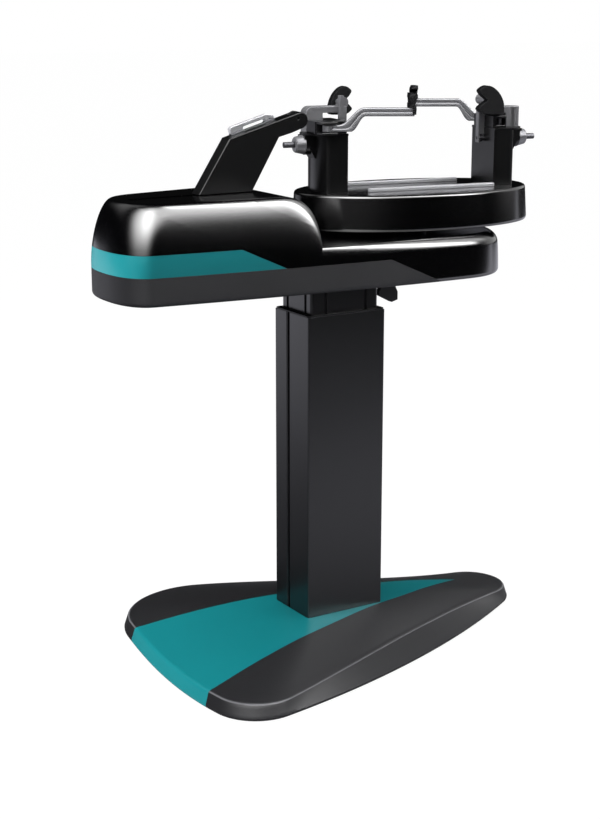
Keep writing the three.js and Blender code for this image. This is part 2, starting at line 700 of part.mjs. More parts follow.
function columnFlange() {
  const width = COLUMN_WIDTH + 2 * FLANGE_MARGIN;
  const depth = COLUMN_DEPTH + 2 * FLANGE_MARGIN;
  const top = columnFoot + FLANGE_THICKNESS;
  const plate = raise(roundedRectangle(width, depth, COLUMN_RADIUS), columnFoot, top);
  const socket = columnHole(FLANGE_SOCKET_WALL, columnFoot, top + FLANGE_SOCKET_HEIGHT);
  const bolts = [];
  for (const side of [-1, 1]) {
    for (const end of [-1, 1]) {
      const x = (side * (width - FLANGE_MARGIN)) / 2;
      const y = (end * (depth - FLANGE_MARGIN)) / 2;
      const bolt = rodZ(FLANGE_BOLT_RADIUS, columnFoot, top + FLANGE_BOLT_HEIGHT, BOLT_SIDES);
      bolts.push(bolt.translate(x, y, 0));
    }
  }
  const hole = columnHole(FIT, columnFoot - OVERRUN, top + FLANGE_SOCKET_HEIGHT + OVERRUN);
  return cut(join(plate, socket, ...bolts), hole);
}

// Lifting column
function outerColumn() {
  const tube = roundedRectangle(COLUMN_WIDTH, COLUMN_DEPTH, COLUMN_RADIUS);
  const cavityWidth = COLUMN_WIDTH - 2 * COLUMN_WALL;
  const cavityDepth = COLUMN_DEPTH - 2 * COLUMN_WALL;
  tube.holes.push(roundedRectangle(cavityWidth, cavityDepth, COLUMN_RADIUS - COLUMN_WALL));
  const grooveY = COLUMN_DEPTH / 2 - COLUMN_GROOVE_SHARE * COLUMN_DEPTH;
  const grooveX = -COLUMN_WIDTH / 2;
  const groove = block(
    grooveX - OVERRUN,
    grooveX + COLUMN_GROOVE_DEPTH,
    grooveY - COLUMN_GROOVE_WIDTH / 2,
    grooveY + COLUMN_GROOVE_WIDTH / 2,
    columnFoot - OVERRUN,
    COLUMN_TOP + OVERRUN,
  );
  return cut(raise(tube, columnFoot, COLUMN_TOP), groove);
}

function columnCollar() {
  const innerWidth = COLUMN_WIDTH - 2 * (COLUMN_WALL + FIT);
  const innerDepth = COLUMN_DEPTH - 2 * (COLUMN_WALL + FIT);
  const foot = COLUMN_TOP - COLLAR_HEIGHT;
  const seat = COLUMN_TOP + FIT;
  const top = seat + COLLAR_LIP;
  const sleeve = raise(roundedRectangle(innerWidth, innerDepth, COLUMN_RADIUS - COLUMN_WALL), foot, seat);
  const lip = raise(roundedRectangle(COLUMN_WIDTH, COLUMN_DEPTH, COLUMN_RADIUS), seat, top);
  const hole = roundedRectangle(INNER_WIDTH + 2 * FIT, INNER_DEPTH + 2 * FIT, INNER_RADIUS);
  return cut(join(sleeve, lip), raise(hole, foot - OVERRUN, top + OVERRUN));
}

function innerCavity(gap, z0, z1) {
  const width = INNER_WIDTH - 2 * (INNER_WALL + gap);
  const depth = INNER_DEPTH - 2 * (INNER_WALL + gap);
  return raise(roundedRectangle(width, depth, INNER_RADIUS / 2), z0, z1);
}

// A cutter as wide as a groove, from inside the face at reach to outside it, on either side
function grooveSpan(side, reach) {
  const ends = [side * (reach - INNER_GROOVE_DEPTH), side * (reach + OVERRUN)];
  return ends.sort((a, b) => a - b);
}

function innerColumn() {
  const tube = raise(roundedRectangle(INNER_WIDTH, INNER_DEPTH, INNER_RADIUS), innerBottom, innerTop);
  const bottom = innerBottom - OVERRUN;
  const top = innerTop + OVERRUN;
  const half = INNER_GROOVE_WIDTH / 2;
  const grooves = [];
  for (const side of [-1, 1]) {
    for (const share of [-INNER_GROOVE_SHARE, INNER_GROOVE_SHARE]) {
      const x = share * INNER_WIDTH;
      const y = share * INNER_DEPTH;
      grooves.push(block(x - half, x + half, ...grooveSpan(side, INNER_DEPTH / 2), bottom, top));
      grooves.push(block(...grooveSpan(side, INNER_WIDTH / 2), y - half, y + half, bottom, top));
    }
  }
  return cut(tube, innerCavity(0, bottom, top), ...grooves);
}

function liftMotor() {
  const box = block(
    -MOTOR_BLOCK_WIDTH / 2,
    MOTOR_BLOCK_WIDTH / 2,
    -MOTOR_BLOCK_DEPTH / 2,
    MOTOR_BLOCK_DEPTH / 2,
    columnFoot,
    columnFoot + MOTOR_BLOCK_HEIGHT,
  );
  return join(box, rodZ(MOTOR_RADIUS, columnFoot, motorTop));
}

function liftScrew() {
  return rodZ(LIFT_SCREW_RADIUS, motorTop + FIT, liftScrewTop);
}

function liftNut() {
  const blank = innerCavity(FIT, innerBottom, innerBottom + LIFT_NUT_HEIGHT);
  const top = innerBottom + LIFT_NUT_HEIGHT + OVERRUN;
  return cut(blank, rodZ(LIFT_SCREW_RADIUS + FIT, innerBottom - OVERRUN, top));
}

// Housing: a boat-shaped plan with a blunt nose at the left and a rounded end at the right
function corner(centreX, length, half, from, to) {
  const points = [];
  const power = 2 / HOUSING_CORNER_POWER;
  for (let i = 0; i <= HOUSING_CORNER_STEPS; i++) {
    const angle = from + ((to - from) * i) / HOUSING_CORNER_STEPS;
    const along = Math.sign(Math.cos(angle)) * Math.abs(Math.cos(angle)) ** power;
    const aside = Math.abs(Math.sin(angle)) ** power;
    points.push(new THREE.Vector2(centreX + length * along, -half * aside));
  }
  return points;
}

// Where the flank has points along X: closer together in the roll than left and right of it
function flankStations(noseX, endX, depth) {
  const start = HUMP_END - HUMP_END_ROLL;
  const roll = HUMP_END_ROLL - depth;
  const stations = [];
  for (let i = 1; i < HOUSING_LEFT_STEPS; i++) {
    stations.push(THREE.MathUtils.lerp(noseX, start, i / HOUSING_LEFT_STEPS));
  }
  for (let i = 0; i <= HUMP_ROLL_STEPS; i++) {
    stations.push(start + roll * Math.sin((i / HUMP_ROLL_STEPS) * (Math.PI / 2)));
  }
  for (let i = 1; i < HOUSING_RIGHT_STEPS; i++) {
    stations.push(THREE.MathUtils.lerp(start + roll, endX, i / HOUSING_RIGHT_STEPS));
  }
  return stations;
}

// The nose is drawn in towards its tip so that it runs on into the flank without a kink
function housingOutline(inset, depth) {
  const noseX = HOUSING_LEFT + HOUSING_NOSE_LENGTH;
  const endX = housingRight - HOUSING_END_LENGTH;
  const swell = HOUSING_HALF_WIDTH - HOUSING_NOSE_HALF;
  const slope = (swell * HOUSING_FLANK_POWER) / (endX - noseX);
  const noseHalf = HOUSING_NOSE_HALF - inset;
  const nose = corner(noseX, HOUSING_NOSE_LENGTH - inset, noseHalf, Math.PI, Math.PI / 2);
  for (const point of nose) {
    point.y *= 1 - (slope * (noseX - point.x)) / noseHalf;
  }
  const flank = flankStations(noseX, endX, depth).map((x) => {
    const left = (endX - x) / (endX - noseX);
    return new THREE.Vector2(x, inset - HOUSING_HALF_WIDTH + swell * left ** HOUSING_FLANK_POWER);
  });
  const end = corner(endX, HOUSING_END_LENGTH - inset, HOUSING_HALF_WIDTH - inset, Math.PI / 2, 0);
  const half = [...nose, ...flank, ...end];
  half[0].y = 0;
  half[half.length - 1].y = 0;
  return mirrored(half);
}

// Share of the hump's height that stands at x: one at the left, falling to zero through the roll
function humpShare(x, depth) {
  const turned = (x - HUMP_END + HUMP_END_ROLL) / (HUMP_END_ROLL - depth);
  return Math.sqrt(1 - THREE.MathUtils.clamp(turned, 0, 1) ** 2);
}

// The housing's skin, moved inwards by depth; its crown is a quarter turn from the springing to the roof
function housingSkin(depth) {
  const floor = housingFloor + depth;
  const springing = lowerTop - LOWER_TOP_ROUND - depth;
  const tall = humpTop - depth - springing;
  const corner = HOUSING_FLOOR_ROUND * (1 - Math.SQRT1_2);
  const ring = (inset, z) => atHeight(housingOutline(inset + depth, depth), z);
  const rings = [
    ring(HOUSING_FLOOR_ROUND, floor),
    ring(corner, floor + corner),
    ring(0, floor + HOUSING_FLOOR_ROUND),
    ring(0, springing),
  ];
  for (let i = 1; i <= CROWN_STEPS; i++) {
    const angle = (i / CROWN_STEPS) * (Math.PI / 2);
    const rise = Math.sin(angle);
    const shift = 1 - Math.cos(angle);
    const lowRing = ring(LOWER_TOP_ROUND * shift, springing + LOWER_TOP_ROUND * rise);
    const tallRing = ring(HUMP_ROUND * shift + HUMP_DRAFT * rise, springing + tall * rise);
    rings.push(lowRing.map((point, j) => point.lerp(tallRing[j], humpShare(point.x, depth))));
  }
  return loft(rings);
}

function housingShell() {
  const slot = block(
    slotLeft,
    neckRight + SLOT_GAP + FIT,
    -NECK_WIDTH / 2 - SLOT_GAP,
    NECK_WIDTH / 2 + SLOT_GAP,
    humpTop - HOUSING_WALL - OVERRUN,
    humpTop + OVERRUN,
  );
  const columnOpening = raise(
    roundedRectangle(INNER_WIDTH + 2 * COLUMN_HOLE_GAP, INNER_DEPTH + 2 * COLUMN_HOLE_GAP, INNER_RADIUS),
    housingFloor - OVERRUN,
    chassisBottom,
  );
  const holeRadius = BEARING_RADIUS + BEARING_TUBE_WALL + SPINDLE_HOLE_GAP;
  const spindleHole = rodZ(holeRadius, lowerTop - HOUSING_WALL - OVERRUN, lowerTop + OVERRUN);
  spindleHole.translate(SPINDLE_X, 0, 0);
  const inlet = block(
    INLET_X - INLET_LENGTH / 2 - FIT,
    INLET_X + INLET_LENGTH / 2 + FIT,
    INLET_Y - INLET_WIDTH / 2 - FIT,
    INLET_Y + INLET_WIDTH / 2 + FIT,
    housingFloor - OVERRUN,
    housingFloor + HOUSING_WALL + OVERRUN,
  );
  return cut(housingSkin(0), housingSkin(HOUSING_WALL), slot, columnOpening, spindleHole, inlet);
}

// The parting lines of the shell, seen from the front and carried across it
function trayRegion(grow) {
  const reach = HOUSING_HALF_WIDTH + OVERRUN;
  const far = HOUSING_LEFT - OVERRUN;
  const slope = (TRAY_END_FLOOR - TRAY_END_TOP) / (trayTop - housingFloor);
  const low = housingFloor - OVERRUN;
  const outline = polygon([
    [far, low],
    [TRAY_END_FLOOR + slope * OVERRUN + grow, low],
    [TRAY_END_TOP - slope * grow + grow, trayTop + grow],
    [far, trayTop + grow],
  ]);
  return across(outline, -reach, reach);
}

function bandRegion(grow) {
  const reach = HOUSING_HALF_WIDTH + OVERRUN;
  const far = HOUSING_LEFT - OVERRUN;
  const low = trayTop + SEAM - grow;
  const slope = (BAND_END_TIP - BAND_END_TOP) / (bandTop - trayTop - SEAM);
  const outline = polygon([
    [far, low],
    [BAND_END_TIP + slope * grow + 2 * grow, low],
    [BAND_END_TOP - slope * grow + 2 * grow, bandTop + grow],
    [far, bandTop + grow],
  ]);
  return across(outline, -reach, reach);
}

function chassisPlate() {
  const width = chassisRight - chassisLeft;
  const middle = (chassisRight + chassisLeft) / 2;
  const plan = roundedRectangle(width, 2 * CHASSIS_HALF_WIDTH, CHASSIS_CORNER, middle, 0);
  return raise(plan, chassisBottom, chassisTop);
}

// Spindle: a stepped tube on the chassis holds two bearing rings, and the flanged shaft turns in them
function spindleHousing() {
  const foot = chassisTop + FIT;
  const outer = BEARING_RADIUS + BEARING_TUBE_WALL;
  const seat = BEARING_RADIUS + FIT;
  const step = BEARING_RADIUS - BEARING_SHOULDER;
  const stepBottom = lowerBearingZ + BEARING_HEIGHT + FIT;
  const stepTop = upperBearingZ - FIT;
  return turn([
    [seat, foot],
    [BEARING_FLANGE_RADIUS, foot],
    [BEARING_FLANGE_RADIUS, foot + BEARING_FLANGE_THICKNESS],
    [outer, foot + BEARING_FLANGE_THICKNESS],
    [outer, tubeTop],
    [seat, tubeTop],
    [seat, stepTop],
    [step, stepTop],
    [step, stepBottom],
    [seat, stepBottom],
    [seat, foot],
  ]);
}

function bearing(bottom) {
  const bore = SPINDLE_RADIUS + FIT;
  const top = bottom + BEARING_HEIGHT;
  return turn([
    [bore, bottom],
    [BEARING_RADIUS, bottom],
    [BEARING_RADIUS, top],
    [bore, top],
    [bore, bottom],
  ]);
}

const flangeTop = tubeTop + FIT + SPINDLE_FLANGE_HEIGHT;

function spindle() {
  const flangeBottom = tubeTop + FIT;
  return turn([
    [0, spindleFoot],
    [SPINDLE_RADIUS, spindleFoot],
    [SPINDLE_RADIUS, flangeBottom],
    [SPINDLE_FLANGE_RADIUS, flangeBottom],
    [SPINDLE_FLANGE_RADIUS, flangeTop],
    [0, flangeTop],
  ]);
}

// Turntable: a lens-shaped cover over a steel frame
function tableOutline(inset) {
  const points = [];
  const count = 4 * TABLE_STEPS;
  const power = 2 / TABLE_POWER;
  const bend = (value) => Math.sign(value) * Math.abs(value) ** power;
  for (let i = 0; i < count; i++) {
    const angle = (2 * Math.PI * i) / count;
    const u = (TABLE_HALF_LENGTH - inset) * bend(Math.cos(angle));
    const v = (TABLE_HALF_WIDTH - inset) * bend(Math.sin(angle));
    points.push(new THREE.Vector2(u, v));
  }
  return points;
}

function tableSkin(depth) {
  const roof = tableTop - depth;
  const ring = (inset, z) => atHeight(tableOutline(inset + depth), z);
  return loft([
    ring(TABLE_RIM, depth > 0 ? tableBottom - OVERRUN : tableBottom),
    ring(0, tableBottom + TABLE_RIM_HEIGHT),
    ring(TABLE_DRAFT, roof - TABLE_ROUND),
    ring(TABLE_DRAFT + TABLE_ROUND * (1 - Math.SQRT1_2), roof - TABLE_ROUND * (1 - Math.SQRT1_2)),
    ring(TABLE_DRAFT + TABLE_ROUND, roof),
  ]);
}

function turntableCover() {
  return cut(tableSkin(0), tableSkin(TABLE_WALL));
}

function turntableFrame() {
  const foot = flangeTop + FIT;
  const ceiling = tableTop - TABLE_WALL - FIT;
  const beam = raise(roundedRectangle(FRAME_LENGTH, FRAME_WIDTH, FRAME_CORNER), foot, foot + FRAME_THICKNESS);
  const pedestals = [-1, 1].map((side) => {
    const middle = side * (FRAME_LENGTH / 2 - PEDESTAL_LENGTH / 2);
    const half = PEDESTAL_LENGTH / 2;
    return block(middle - half, middle + half, -PEDESTAL_WIDTH / 2, PEDESTAL_WIDTH / 2, foot, ceiling);
  });
  return join(beam, ...pedestals);
}

function clampRail(side) {
  const foot = tableTop + FIT;
  const v = side * RAIL_OFFSET;
  const middle = -side * RAIL_SHIFT;
  const plan = roundedRectangle(2 * RAIL_HALF_LENGTH, RAIL_WIDTH, RAIL_WIDTH / 2, middle, v);
  const bar = raise(plan, foot, foot + RAIL_HEIGHT);
  const stubStart = middle + RAIL_HALF_LENGTH - RAIL_WIDTH / 2;
  const stubEnd = middle + RAIL_HALF_LENGTH + RAIL_STUB_LENGTH;
  const stub = block(
    stubStart,
    stubEnd,
    v - RAIL_STUB_WIDTH / 2,
    v + RAIL_STUB_WIDTH / 2,
    foot,
    foot + RAIL_STUB_HEIGHT,
  );
  return join(bar, stub);
}

// Towers: a D-shaped post with a flange, and a gusset whose boss takes the adjusting screw
function postPlan(margin, outer) {
  const half = POST_HALF_WIDTH + margin;
  const plan = new THREE.Shape();
  plan.moveTo(POST_INNER, -half);
  plan.lineTo(POST_SHOULDER, -half);
  plan.absellipse(POST_SHOULDER, 0, outer - POST_SHOULDER, half, -Math.PI / 2, Math.PI / 2, false, 0);
  plan.lineTo(POST_INNER, half);
  plan.closePath();
  return plan;
}

function towerPost() {
  const foot = tableTop + FIT;
  const post = raise(postPlan(0, POST_OUTER), foot, postTop);
  const flange = raise(postPlan(POST_FLANGE_MARGIN, BOSS_TIP), postTop, flangeSeat);
  const gusset = across(
    polygon([
      [POST_SHOULDER, postTop],
      [POST_SHOULDER, postTop - BOSS_DROP],
      [POST_OUTER, postTop - BOSS_DROP],
      [BOSS_TIP, postTop - BOSS_LIP],
      [BOSS_TIP, postTop],
    ]),
    -BOSS_HALF_WIDTH,
    BOSS_HALF_WIDTH,
  );
  const boss = rodX(BOSS_RADIUS, POST_SHOULDER, BOSS_FACE).translate(0, 0, screwZ);
  const lipZ = postTop - BOSS_LIP;
  const trim = block(BOSS_FACE, BOSS_TIP + OVERRUN, -POST_HALF_WIDTH, POST_HALF_WIDTH, foot, lipZ);
  const knobRoom = rodX(KNOB_RADIUS + FIT, BOSS_FACE, BOSS_TIP + OVERRUN).translate(0, 0, screwZ);
  const bore = rodX(SCREW_RADIUS + FIT, POST_INNER - OVERRUN, BOSS_TIP + OVERRUN, SMALL_SIDES);
  bore.translate(0, 0, screwZ);
  return cut(join(post, flange, gusset, boss), trim, knobRoom, bore);
}

function adjustScrew() {
  const journal = rodX(JOURNAL_RADIUS, UPRIGHT_INNER, screwEnd, SMALL_SIDES);
  const shank = rodX(SCREW_RADIUS, collarStart, screwEnd, SMALL_SIDES);
  const collar = rodX(SCREW_COLLAR_RADIUS, collarStart, collarStart + SCREW_COLLAR_LENGTH);
  return join(journal, shank, collar).translate(0, 0, screwZ);
}

function adjustKnob() {
  const bore = SCREW_RADIUS + FIT;
  const seat = BOSS_FACE + FIT;
  const end = seat + KNOB_LENGTH;
  const knob = turn([
    [0, seat],
    [KNOB_RADIUS, seat],
    [KNOB_TIP_RADIUS, end - KNOB_ROUND],
    [KNOB_TIP_RADIUS - KNOB_ROUND, end],
    [0, end],
  ]).rotateY(Math.PI / 2);
  return cut(knob, rodX(bore, seat - OVERRUN, end + OVERRUN, SMALL_SIDES)).translate(0, 0, screwZ);
}

// Frame support: a sliding head, a bracket with its pad, and an ear for the side arm
const pivotS = ARM_LENGTH;
const armDirection = radians(ARM_TURN);
const pivotU = ARM_PIN_U + pivotS * Math.cos(armDirection);
const pivotV = ARM_PIN_V + pivotS * Math.sin(armDirection);

function supportHead() {
  const wide = block(POST_INNER, HEAD_OUTER, HEAD_SPLIT, HEAD_HALF_WIDTH, headFoot, headTop);
  const narrow = block(POST_INNER, HEAD_NARROW_OUTER, -HEAD_HALF_WIDTH, HEAD_HALF_WIDTH, headFoot, headTop);
  const ear = block(EAR_INNER, EAR_OUTER, HEAD_SPLIT, EAR_REACH, headFoot, headTop);
  const slot = block(
    POST_INNER - OVERRUN,
    HEAD_OUTER + OVERRUN,
    EAR_SLOT_START,
    EAR_REACH + OVERRUN,
    headFoot + EAR_PLATE,
    headTop - EAR_PLATE,
  );
  const pocket = block(
    HEAD_NARROW_OUTER - POCKET_WALL - POCKET_LENGTH,
    HEAD_NARROW_OUTER - POCKET_WALL,
    -HEAD_HALF_WIDTH - OVERRUN,
    -HEAD_HALF_WIDTH + POCKET_DEPTH,
    headFoot + POCKET_PLATE,
    headTop - POCKET_PLATE,
  );
  const pin = rodZ(ARM_PIN_RADIUS, headFoot, headTop, SMALL_SIDES).translate(pivotU, pivotV, 0);
  return join(cut(join(wide, narrow, ear), slot, pocket), pin);
}

// The bolt that stands in the head's pocket
function clampBolt() {
  const foot = headFoot + POCKET_PLATE + FIT;
  const bolt = rodZ(CLAMP_BOLT_RADIUS, foot, headTop - POCKET_PLATE - FIT, SMALL_SIDES);
  const boltU = HEAD_NARROW_OUTER - POCKET_WALL - CLAMP_BOLT_INSET;
  return bolt.translate(boltU, -HEAD_HALF_WIDTH + CLAMP_BOLT_INSET, 0);
}

function frameBracket(raiseBy) {
  const top = bracketTop + raiseBy;
  const profile = new THREE.Shape();
  profile.moveTo(LEG_INNER, headFoot);
  profile.lineTo(LEG_OUTER, headFoot);
  profile.lineTo(LEG_OUTER, top - LEG_ROUND);
  profile.absarc(LEG_OUTER - LEG_ROUND, top - LEG_ROUND, LEG_ROUND, 0, Math.PI / 2, false);
  profile.lineTo(UPRIGHT_INNER, top);
  profile.lineTo(UPRIGHT_INNER, top - BAR_HEIGHT);
  profile.lineTo(LEG_INNER, top - BAR_HEIGHT);
  profile.closePath();
  const arch = across(profile, LEG_FRONT, LEG_BACK, BRACKET_EDGE);
  const uprightOuter = UPRIGHT_INNER + UPRIGHT_WIDTH;
  const neckInner = uprightOuter - UPRIGHT_NECK;
  const tabOuter = UPRIGHT_INNER + TAB_THICKNESS;
  const neckTop = padZ + UPRIGHT_ABOVE_PAD;
  const lower = block(UPRIGHT_INNER, uprightOuter, UPRIGHT_FRONT, UPRIGHT_BACK, uprightFoot, top);
  const neck = block(neckInner, uprightOuter, UPRIGHT_FRONT, UPRIGHT_BACK, uprightFoot, neckTop);
  const tab = block(UPRIGHT_INNER, tabOuter, UPRIGHT_FRONT, UPRIGHT_BACK, screwZ - TAB_DROP, top);
  const hub = rodY(PAD_HUB_RADIUS, PAD_FRONT + PAD_THICKNESS + FIT, UPRIGHT_FRONT + TAB_THICKNESS);
  const bore = rodX(JOURNAL_RADIUS + FIT, UPRIGHT_INNER - OVERRUN, tabOuter + OVERRUN, SMALL_SIDES);
  bore.translate(0, 0, screwZ);
  return cut(join(arch, lower, neck, tab, hub.translate(PAD_CENTRE, 0, padZ)), bore);
}

// The pad has a flat foot, one large round corner and a round mouth towards the racket
function framePad() {
  const left = PAD_CENTRE - PAD_HALF_WIDTH;
  const right = PAD_CENTRE + PAD_HALF_WIDTH;
  const foot = padZ - PAD_HALF_HEIGHT;
  const top = padZ + PAD_HALF_HEIGHT;
  const apexX = left + PAD_MOUTH_DEPTH;
  const profile = new THREE.Shape();
  profile.moveTo(left, padZ - PAD_MOUTH_HALF);
  profile.quadraticCurveTo(left, foot, left + PAD_CORNER, foot);
  profile.lineTo(right - PAD_CORNER, foot);
  profile.quadraticCurveTo(right, foot, right, foot + PAD_CORNER);
  profile.lineTo(right, top - PAD_ARC_RADIUS);
  profile.absarc(right - PAD_ARC_RADIUS, top - PAD_ARC_RADIUS, PAD_ARC_RADIUS, 0, Math.PI / 2, false);
  profile.quadraticCurveTo(left, top, left, padZ + PAD_MOUTH_HALF);
  profile.quadraticCurveTo(apexX, padZ + PAD_APEX_ROUND, apexX, padZ);
  profile.quadraticCurveTo(apexX, padZ - PAD_APEX_ROUND, left, padZ - PAD_MOUTH_HALF);
  return across(profile, PAD_FRONT, PAD_FRONT + PAD_THICKNESS);
}

// Side arm: a grooved bar in an upright plane, with a bend down to the eye on its pivot
function sideArm() {
  const top = armZ + ARM_DEPTH / 2;
  const under = armZ - ARM_DEPTH / 2;
  const eyeMiddle = (headFoot + headTop) / 2;
  const eyeTop = eyeMiddle + ARM_EYE_HEIGHT / 2;
  const eyeUnder = eyeMiddle - ARM_EYE_HEIGHT / 2;
  const bendEnd = ARM_STRAIGHT + ARM_BEND;
  const lag = ARM_DEPTH / 2;
  const half = ARM_THICKNESS / 2;
  const profile = new THREE.Shape();
  profile.moveTo(0, under);
  profile.lineTo(ARM_STRAIGHT - lag, under);
  profile.bezierCurveTo(ARM_STRAIGHT + lag, under, bendEnd - 2 * lag, eyeUnder, bendEnd, eyeUnder);
  profile.lineTo(pivotS, eyeUnder);
  profile.lineTo(pivotS, eyeTop);
  profile.lineTo(bendEnd + lag, eyeTop);
  profile.bezierCurveTo(bendEnd - lag, eyeTop, ARM_STRAIGHT + 2 * lag, top, ARM_STRAIGHT, top);
  profile.lineTo(0, top);
  profile.closePath();
  const bar = across(profile, -half, half, ARM_BEVEL);
  const tip = rodZ(half, under + ARM_BEVEL, top - ARM_BEVEL, SMALL_SIDES);
  const pin = rodZ(ARM_PIN_RADIUS, armZ, top + CLAW_PIN_RISE, SMALL_SIDES);
  const eye = rodZ(ARM_EYE_RADIUS, eyeUnder, eyeTop).translate(pivotS, 0, 0);
  const bore = rodZ(ARM_PIN_RADIUS + FIT, eyeUnder - OVERRUN, eyeTop + OVERRUN, SMALL_SIDES);
  const start = half + ARM_GROOVE_MARGIN;
  const end = ARM_STRAIGHT - ARM_GROOVE_MARGIN;
  const low = armZ - ARM_GROOVE_WIDTH / 2;
  const high = armZ + ARM_GROOVE_WIDTH / 2;
  const front = block(start, end, -half - OVERRUN, -half + ARM_GROOVE_DEPTH, low, high);
  const back = block(start, end, half - ARM_GROOVE_DEPTH, half + OVERRUN, low, high);
  return cut(join(bar, tip, pin, eye), bore.translate(pivotS, 0, 0), front, back);
}

// Side claw: a C whose jaws face the racket, turning on the arm's pin, with a tongue past the arm's end
function clawOutline() {
  const foot = armZ + ARM_DEPTH / 2 + FIT;
  const top = foot + CLAW_HEIGHT;
  const middle = (foot + top) / 2;
  const mouthTop = middle + CLAW_MOUTH / 2;
  const mouthUnder = middle - CLAW_MOUTH / 2;
  const round = CLAW_JAW_ROUND;
  const profile = new THREE.Shape();
  profile.moveTo(-CLAW_SPINE, foot);
  profile.lineTo(CLAW_REACH - round, foot);
  profile.quadraticCurveTo(CLAW_REACH, foot, CLAW_REACH, foot + round);
  profile.quadraticCurveTo(CLAW_REACH, mouthUnder, CLAW_REACH - round, mouthUnder);
  profile.quadraticCurveTo(0, mouthUnder, 0, middle);
  profile.quadraticCurveTo(0, mouthTop, CLAW_REACH - round, mouthTop);
  profile.quadraticCurveTo(CLAW_REACH, mouthTop, CLAW_REACH, top - round);
  profile.quadraticCurveTo(CLAW_REACH, top, CLAW_REACH - round, top);
  profile.lineTo(0, top);
  profile.quadraticCurveTo(-CLAW_SPINE, top, -CLAW_SPINE, top - round);
  profile.closePath();
  return profile;
}

// The jaws' outline is drawn along the arm, so it is turned a quarter about the pin
function sideClaw() {
  const half = CLAW_THICKNESS / 2;
  const foot = armZ + ARM_DEPTH / 2 + FIT;
  const length = CLAW_REACH + CLAW_SPINE;
  const plan = roundedRectangle(length, CLAW_THICKNESS, CLAW_EDGE, (CLAW_REACH - CLAW_SPINE) / 2, 0);
  const jaws = common(across(clawOutline(), -half, half), raise(plan, foot, foot + CLAW_HEIGHT));
  const tongueFoot = foot - CLAW_TONGUE_DROP;
  const inner = ARM_THICKNESS / 2 + FIT;
  const ring = rodZ(inner + CLAW_TONGUE_WALL, tongueFoot, foot + OVERRUN);
  const room = rodZ(inner, tongueFoot - OVERRUN, foot);
  const outer = inner + CLAW_TONGUE_WALL + OVERRUN;
  const open = block(-inner / 2, outer, -outer, outer, tongueFoot - OVERRUN, foot);
  const bore = rodZ(ARM_PIN_RADIUS + FIT, foot - OVERRUN, foot + CLAW_PIN_RISE, SMALL_SIDES);
  return cut(join(jaws.rotateZ(-Math.PI / 2), cut(ring, room, open)), bore);
}

// Tension head: the tower leans from its foot to the round nose, with the neck below it in the slot
const armSlope = radians(ARM_RISE);
const noseTopX = NOSE_X - NOSE_RADIUS * Math.sin(armSlope);
const noseTopZ = noseZ + NOSE_RADIUS * Math.cos(armSlope);
const backZ = noseTopZ - (noseTopX - HEAD_BACK_X) * Math.tan(armSlope);
const gripperZ = backZ + (GRIPPER_X - HEAD_BACK_X) * Math.tan(armSlope);

function towerOutline() {
  const underSlope = radians(NOSE_UNDER_RISE);
  const underX = NOSE_X + NOSE_RADIUS * Math.sin(underSlope) - NOSE_UNDER_LENGTH * Math.cos(underSlope);
  const underZ = noseZ - NOSE_RADIUS * Math.cos(underSlope) - NOSE_UNDER_LENGTH * Math.sin(underSlope);
  const outline = new THREE.Shape();
  outline.moveTo(HEAD_FOOT_LEFT, headFootZ);
  outline.lineTo(HEAD_FOOT_RIGHT, headFootZ);
  outline.lineTo(underX - ELBOW_RUN, underZ - ELBOW_DROP);
  outline.lineTo(underX, underZ);
  outline.absarc(NOSE_X, noseZ, NOSE_RADIUS, underSlope - Math.PI / 2, armSlope + Math.PI / 2, false);
  outline.lineTo(HEAD_BACK_X, backZ);
  outline.closePath();
  return outline;
}

function headTower() {
  const half = HEAD_THICKNESS / 2;
  const body = across(towerOutline(), -half, half, HEAD_EDGE);
  const neckTop = headFootZ + HEAD_EDGE;
  const neck = block(neckLeft, neckRight, -NECK_WIDTH / 2, NECK_WIDTH / 2, neckFoot + FIT, neckTop);
  const roomHalf = ROLLER_WIDTH / 2 + ROLLER_GAP;
  const room = rodY(ROLLER_RADIUS + ROLLER_GAP, -roomHalf, roomHalf).translate(rollerX, 0, rollerZ);
  const axleBore = rodY(AXLE_RADIUS + FIT, -half - OVERRUN, half + OVERRUN, SMALL_SIDES);
  return cut(join(body, neck), room, axleBore.translate(rollerX, 0, rollerZ));
}

function noseRoller() {
  const bore = AXLE_RADIUS + FIT;
  const half = ROLLER_WIDTH / 2;
  const roller = turn([
    [bore, -half],
    [ROLLER_RADIUS, -half],
    [ROLLER_RADIUS - ROLLER_GROOVE, 0],
    [ROLLER_RADIUS, half],
    [bore, half],
    [bore, -half],
  ]);
  return roller.rotateX(Math.PI / 2).translate(rollerX, 0, rollerZ);
}

function rollerAxle() {
  return rodY(AXLE_RADIUS, -AXLE_LENGTH / 2, AXLE_LENGTH / 2, SMALL_SIDES).translate(rollerX, 0, rollerZ);
}

// The gripper's two jaws lie along the sloping top of the head; x here runs up the slope
function gripperLower() {
  const half = GRIPPER_WIDTH / 2;
  return block(-GRIPPER_HALF, GRIPPER_HALF, -half, half, FIT, GRIPPER_FLOOR);
}

function gripperUpper() {
  const seat = GRIPPER_FLOOR + FIT;
  const rightLeg = GRIPPER_HALF - GRIPPER_RIGHT_LEG;
  const outline = polygon([
    [-GRIPPER_HALF, seat],
    [-GRIPPER_HALF + GRIPPER_LEFT_LEG, seat],
    [-GRIPPER_HALF + GRIPPER_LEFT_LEG, GRIPPER_ROOF],
    [rightLeg, GRIPPER_ROOF],
    [rightLeg, seat],
    [GRIPPER_HALF, seat],
    [GRIPPER_HALF, GRIPPER_TOP - GRIPPER_NOSE_DROP],
    [rightLeg, GRIPPER_TOP],
    [-GRIPPER_HALF, GRIPPER_TOP],
  ]);
  return across(outline, -GRIPPER_WIDTH / 2, GRIPPER_WIDTH / 2);
}

